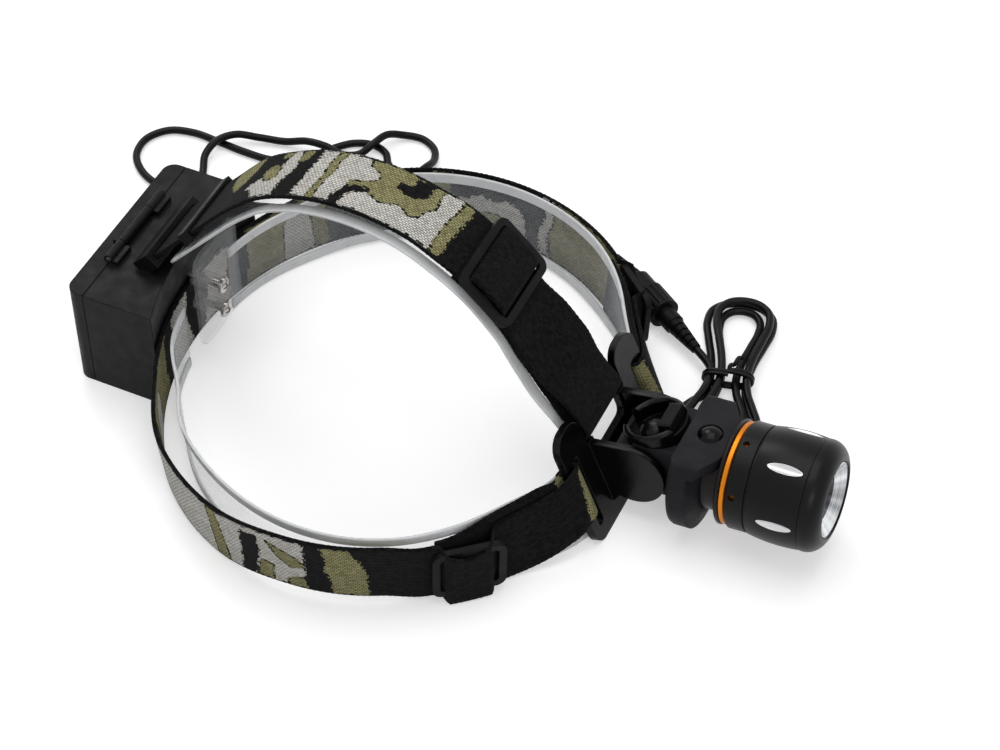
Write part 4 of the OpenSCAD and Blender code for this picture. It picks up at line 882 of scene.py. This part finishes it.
def side_band():
    rows = [*slot_front(1)]
    for i in range(153):
        q = mix(EDGE_Q - 0.6, 360 - EDGE_Q + 0.6, i / 152)
        rows.append(hoop_row(q, 0, near_raise(q - 360)))
    rows += slot_front(-1)[::-1]
    frames = [side_slide(-BUCKLE_Q), side_slide(BUCKLE_Q)]
    for row in (rows[0], rows[-1]):
        frames.append((row[:3] + row[3:6] * STRAP_W / 2, np.array([0, 1, 0]), *BRACKET_SLOT))
    obj, uv = ribbon("side_band", rows, STRAP_W, STRAP_T, webbing, frames=frames, ripple=RIPPLE)
    total = uv[:, 0].max()
    outer = [*NEAR_PATCHES, *REAR_PATCHES, *mirrored(NEAR_PATCHES, total)]
    paint(obj, uv, outer, [*INNER_PATCHES, *mirrored(INNER_PATCHES, total)])
    soft_piece(obj, ["side_strap"])


def fold_band(name, node, side):
    ends = (EDGE_Q - 0.6, BUCKLE_Q + 6.5)
    rows = slot_back(side)
    peak = NEAR_PEAK if side < 0 else FAR_PEAK
    for i in range(25):
        q = side * mix(*ends, i / 24)
        risen = peak * ease(i / 8) * (1 - ease((i - 14) / 9))
        rows.append(hoop_row(q, mix(FOLD_INSET + SOFT_GAP, UNDER_PLATE, at_plate(q, 9)), risen))
    obj, uv = ribbon(name, rows, STRAP_W - 1, STRAP_T, webbing, ripple=RIPPLE)
    olive = ("olive", [(4, 33), (5, 20), (3, 8), (4, -3), (13, -3), (11, 10), (15, 20), (14, 33)])
    paint(obj, uv, [olive], [olive])
    soft_piece(obj, [node])


def crown_band():
    rows = [*[wrap_row(mix(-90 - DIP_FRONT, 90 - DIP_FRONT, i / 16)) for i in range(15)],
            *[crown_row(DIP_FRONT, WRAP_RUN * k) for k in np.linspace(1, 0.08, 12)],
            *[crown_row(mix(DIP_FRONT, 0, i / 18)) for i in range(19)],
            *[crown_row(mix(0, -DIP_REAR, i / 16)) for i in range(1, 17)],
            *[crown_row(-DIP_REAR, REAR_RUN * k) for k in (0.25, 0.5, 0.75, 1)]]
    dip = math.radians(CROWN_BUCKLE_DIP)
    along = np.array([math.cos(dip), 0, -math.sin(dip)])
    slide = (crown_mid(CROWN_BUCKLE_DIP), along, *CROWN_SLIDE)
    obj, uv = ribbon("crown_band", rows, STRAP_W, STRAP_T, webbing, frames=[slide], ripple=RIPPLE)
    paint(obj, uv, CROWN_PATCHES, [*CROWN_PATCHES, block("olive", 20, 60)])
    soft_piece(obj, ["crown_strap"])


def crown_fold_band():
    width = STRAP_W - 1
    rows = [crown_row(DIP_FRONT, WRAP_RUN, 2 * WRAP_R, width),
            crown_row(DIP_FRONT, WRAP_RUN - 5, 2 * WRAP_R - SOFT_GAP, width)]
    for i in range(10):
        run = mix(WRAP_RUN - 11, 3, i / 9)
        inset = mix(FOLD_INSET + SOFT_GAP, 2 * WRAP_R, ease((run - 22) / 30))
        rows.append(crown_row(DIP_FRONT, run, inset, width))
    rows += [crown_row(a, 0, FOLD_INSET + SOFT_GAP, width) for a in (49, 46, 43, 40, 37, 34.5)]
    obj, uv = ribbon("crown_fold_band", rows, width, STRAP_T, webbing, ripple=RIPPLE)
    paint(obj, uv, [], [block("olive", 8, 30)])
    soft_piece(obj, ["crown_fold"])


LINER_INSET = FOLD_INSET + STRAP_T / 2 + SOFT_GAP + LINER_T / 2 + 1
LINER_BEHIND = UNDER_PLATE + STRAP_T + SOFT_GAP


def liner_gap(q):
    f, slack = from_front(q), (5 if q < 0 else 1.5)
    near = mix(LINER_INSET, LINER_BEHIND, at_plate(q, 14) if f < 60 else 0)
    return near + slack * ease((f - 60) / 60) * (1 - ease((f - 140) / 22))


BEAD_W = 4.5


def liner(name, rows, width, node):
    """Clear grip strip with a raised white bead along both edges."""
    sheet, _ = ribbon(name, rows, width, LINER_T * 0.6, clear_sheet, 2.0, 6)
    soft_piece(sheet, [node])
    for edge, start in (("low", 0), ("top", width - BEAD_W)):
        shifted = [np.concatenate([row[:3] + row[3:6] * start, row[3:]]) for row in np.array(rows)]
        strip, _ = ribbon(f"{name}_{edge}_bead", shifted, BEAD_W, LINER_T, bead, 2.0, 4)
        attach(strip, "headset")


LINER_END_Q = 169.5


def liners():
    side = []
    for i in range(145):
        q = mix(-LINER_END_Q, LINER_END_Q, i / 144)
        side.append(hoop_row(q, liner_gap(q), -LINER_LOW * on_front(q)))
    liner("side_grip", side, STRAP_W + 2, "side_liner")
    front = 2 * WRAP_R + STRAP_T / 2 + SOFT_GAP + LINER_T / 2
    wide = STRAP_W + 4
    crown = [crown_row(DIP_FRONT, WRAP_RUN - 2, front, wide)]
    for i in range(8):
        run = mix(WRAP_RUN - 10, 3, i / 7)
        crown.append(crown_row(DIP_FRONT, run, mix(LINER_INSET, front, ease((run - 16) / 26)), wide))
    crown += [crown_row(mix(DIP_FRONT, -DIP_REAR, i / 18), 0, LINER_INSET, wide) for i in range(19)]
    crown += [crown_row(-DIP_REAR, run, LINER_INSET, wide) for run in (12, 25, 38)]
    liner("crown_grip", crown, wide, "crown_liner")


side_band()
fold_band("near_fold_band", "near_fold", -1)
fold_band("far_fold_band", "far_fold", 1)
crown_band()
crown_fold_band()
liners()

# ---------------------------------------------------------------- the spring under the button

SPRING_LEN = 8.1
SPRING_R = 4.5
SPRING_WIRE = 0.5
SPRING_TURNS = 6


def coil_spring():
    """The wound spring under the button, centred on the spring part it stands in for."""
    centre = np.mean([np.array(c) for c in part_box("button_spring")], axis=0) / MM
    up = np.array([-math.sin(LAMP_PITCH), 0, math.cos(LAMP_PITCH)])
    ahead = np.array([math.cos(LAMP_PITCH), 0, math.sin(LAMP_PITCH)])
    points = []
    for i in range(24 * SPRING_TURNS + 1):
        a = 2 * math.pi * i / 24
        rise = (SPRING_LEN - SPRING_WIRE) * (i / (24 * SPRING_TURNS) - 0.5)
        points.append(centre + rise * up + SPRING_R * (math.cos(a) * ahead + [0, math.sin(a), 0]))
    wound = cord_curve("wound_spring", points, SPRING_WIRE / 2, steel)
    shape = bpy.data.meshes.new_from_object(wound.evaluated_get(bpy.context.evaluated_depsgraph_get()))
    bpy.data.objects.remove(wound)
    spring = bpy.data.objects.new("coil_spring", shape)
    bpy.context.scene.collection.objects.link(spring)
    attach(spring, "lamp_arm")
    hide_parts("button_spring")
    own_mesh(spring)


coil_spring()

# ---------------------------------------------------------------- stage and light


def white_to_eye(tree):
    """Shows as white to the camera, to reflections and through glass, and as lit for other rays."""
    path = tree.nodes.new("ShaderNodeLightPath")
    seen = path.outputs["Is Camera Ray"]
    for ray in ("Is Glossy Ray", "Is Transmission Ray"):
        either = tree.nodes.new("ShaderNodeMath")
        either.operation = "ADD"
        either.use_clamp = True
        tree.links.new(seen, either.inputs[0])
        tree.links.new(path.outputs[ray], either.inputs[1])
        seen = either.outputs[0]
    return seen


def make_floor():
    data = bpy.data.meshes.new("floor")
    half = 4.0
    corners = [(-half, -half, 0), (half, -half, 0), (half, half, 0), (-half, half, 0)]
    data.from_pydata(corners, [], [(0, 1, 2, 3)])
    floor = bpy.data.objects.new("floor", data)
    material = bpy.data.materials.new("floor_white")
    material.use_nodes = True
    tree = material.node_tree
    tree.nodes.clear()
    diffuse = tree.nodes.new("ShaderNodeBsdfDiffuse")
    diffuse.inputs["Color"].default_value = (0.8, 0.8, 0.81, 1)
    glow = tree.nodes.new("ShaderNodeEmission")
    glow.inputs["Color"].default_value = (1, 1, 1, 1)
    strength = tree.nodes.new("ShaderNodeMath")
    strength.operation = "MULTIPLY"
    strength.inputs[1].default_value = 0.42
    tree.links.new(white_to_eye(tree), strength.inputs[0])
    tree.links.new(strength.outputs[0], glow.inputs["Strength"])
    both = tree.nodes.new("ShaderNodeAddShader")
    tree.links.new(diffuse.outputs[0], both.inputs[0])
    tree.links.new(glow.outputs[0], both.inputs[1])
    output = tree.nodes.new("ShaderNodeOutputMaterial")
    tree.links.new(both.outputs[0], output.inputs["Surface"])
    data.materials.append(material)
    bpy.context.scene.collection.objects.link(floor)


def make_world():
    world = bpy.data.worlds.new("studio")
    bpy.context.scene.world = world
    world.use_nodes = True
    tree = world.node_tree
    tree.nodes.clear()
    soft = tree.nodes.new("ShaderNodeBackground")
    soft.inputs["Color"].default_value = (1, 1, 1, 1)
    soft.inputs["Strength"].default_value = 0.45
    white = tree.nodes.new("ShaderNodeBackground")
    white.inputs["Color"].default_value = (1, 1, 1, 1)
    white.inputs["Strength"].default_value = 1.0
    choose = tree.nodes.new("ShaderNodeMixShader")
    tree.links.new(white_to_eye(tree), choose.inputs["Fac"])
    tree.links.new(soft.outputs[0], choose.inputs[1])
    tree.links.new(white.outputs[0], choose.inputs[2])
    output = tree.nodes.new("ShaderNodeOutputWorld")
    tree.links.new(choose.outputs[0], output.inputs["Surface"])


def soft_box(name, place, aim, size, watts):
    data = bpy.data.lights.new(name, "AREA")
    data.shape = "SQUARE"
    data.size = size
    data.energy = watts
    light = bpy.data.objects.new(name, data)
    light.location = place
    light.rotation_euler = (Vector(aim) - Vector(place)).to_track_quat("-Z", "Y").to_euler()
    bpy.context.scene.collection.objects.link(light)


make_floor()
make_world()
soft_box("top_light", (0.0, 0.1, 1.5), (0.02, 0.0, 0.0), 1.2, 9)
soft_box("key_light", (-0.7, 0.7, 1.1), (0.05, 0, 0.02), 0.5, 4)
soft_box("fill_light", (0.9, -0.9, 0.8), (0.05, 0, 0.02), 0.4, 2.8)
bpy.context.scene.view_settings.view_transform = "Standard"
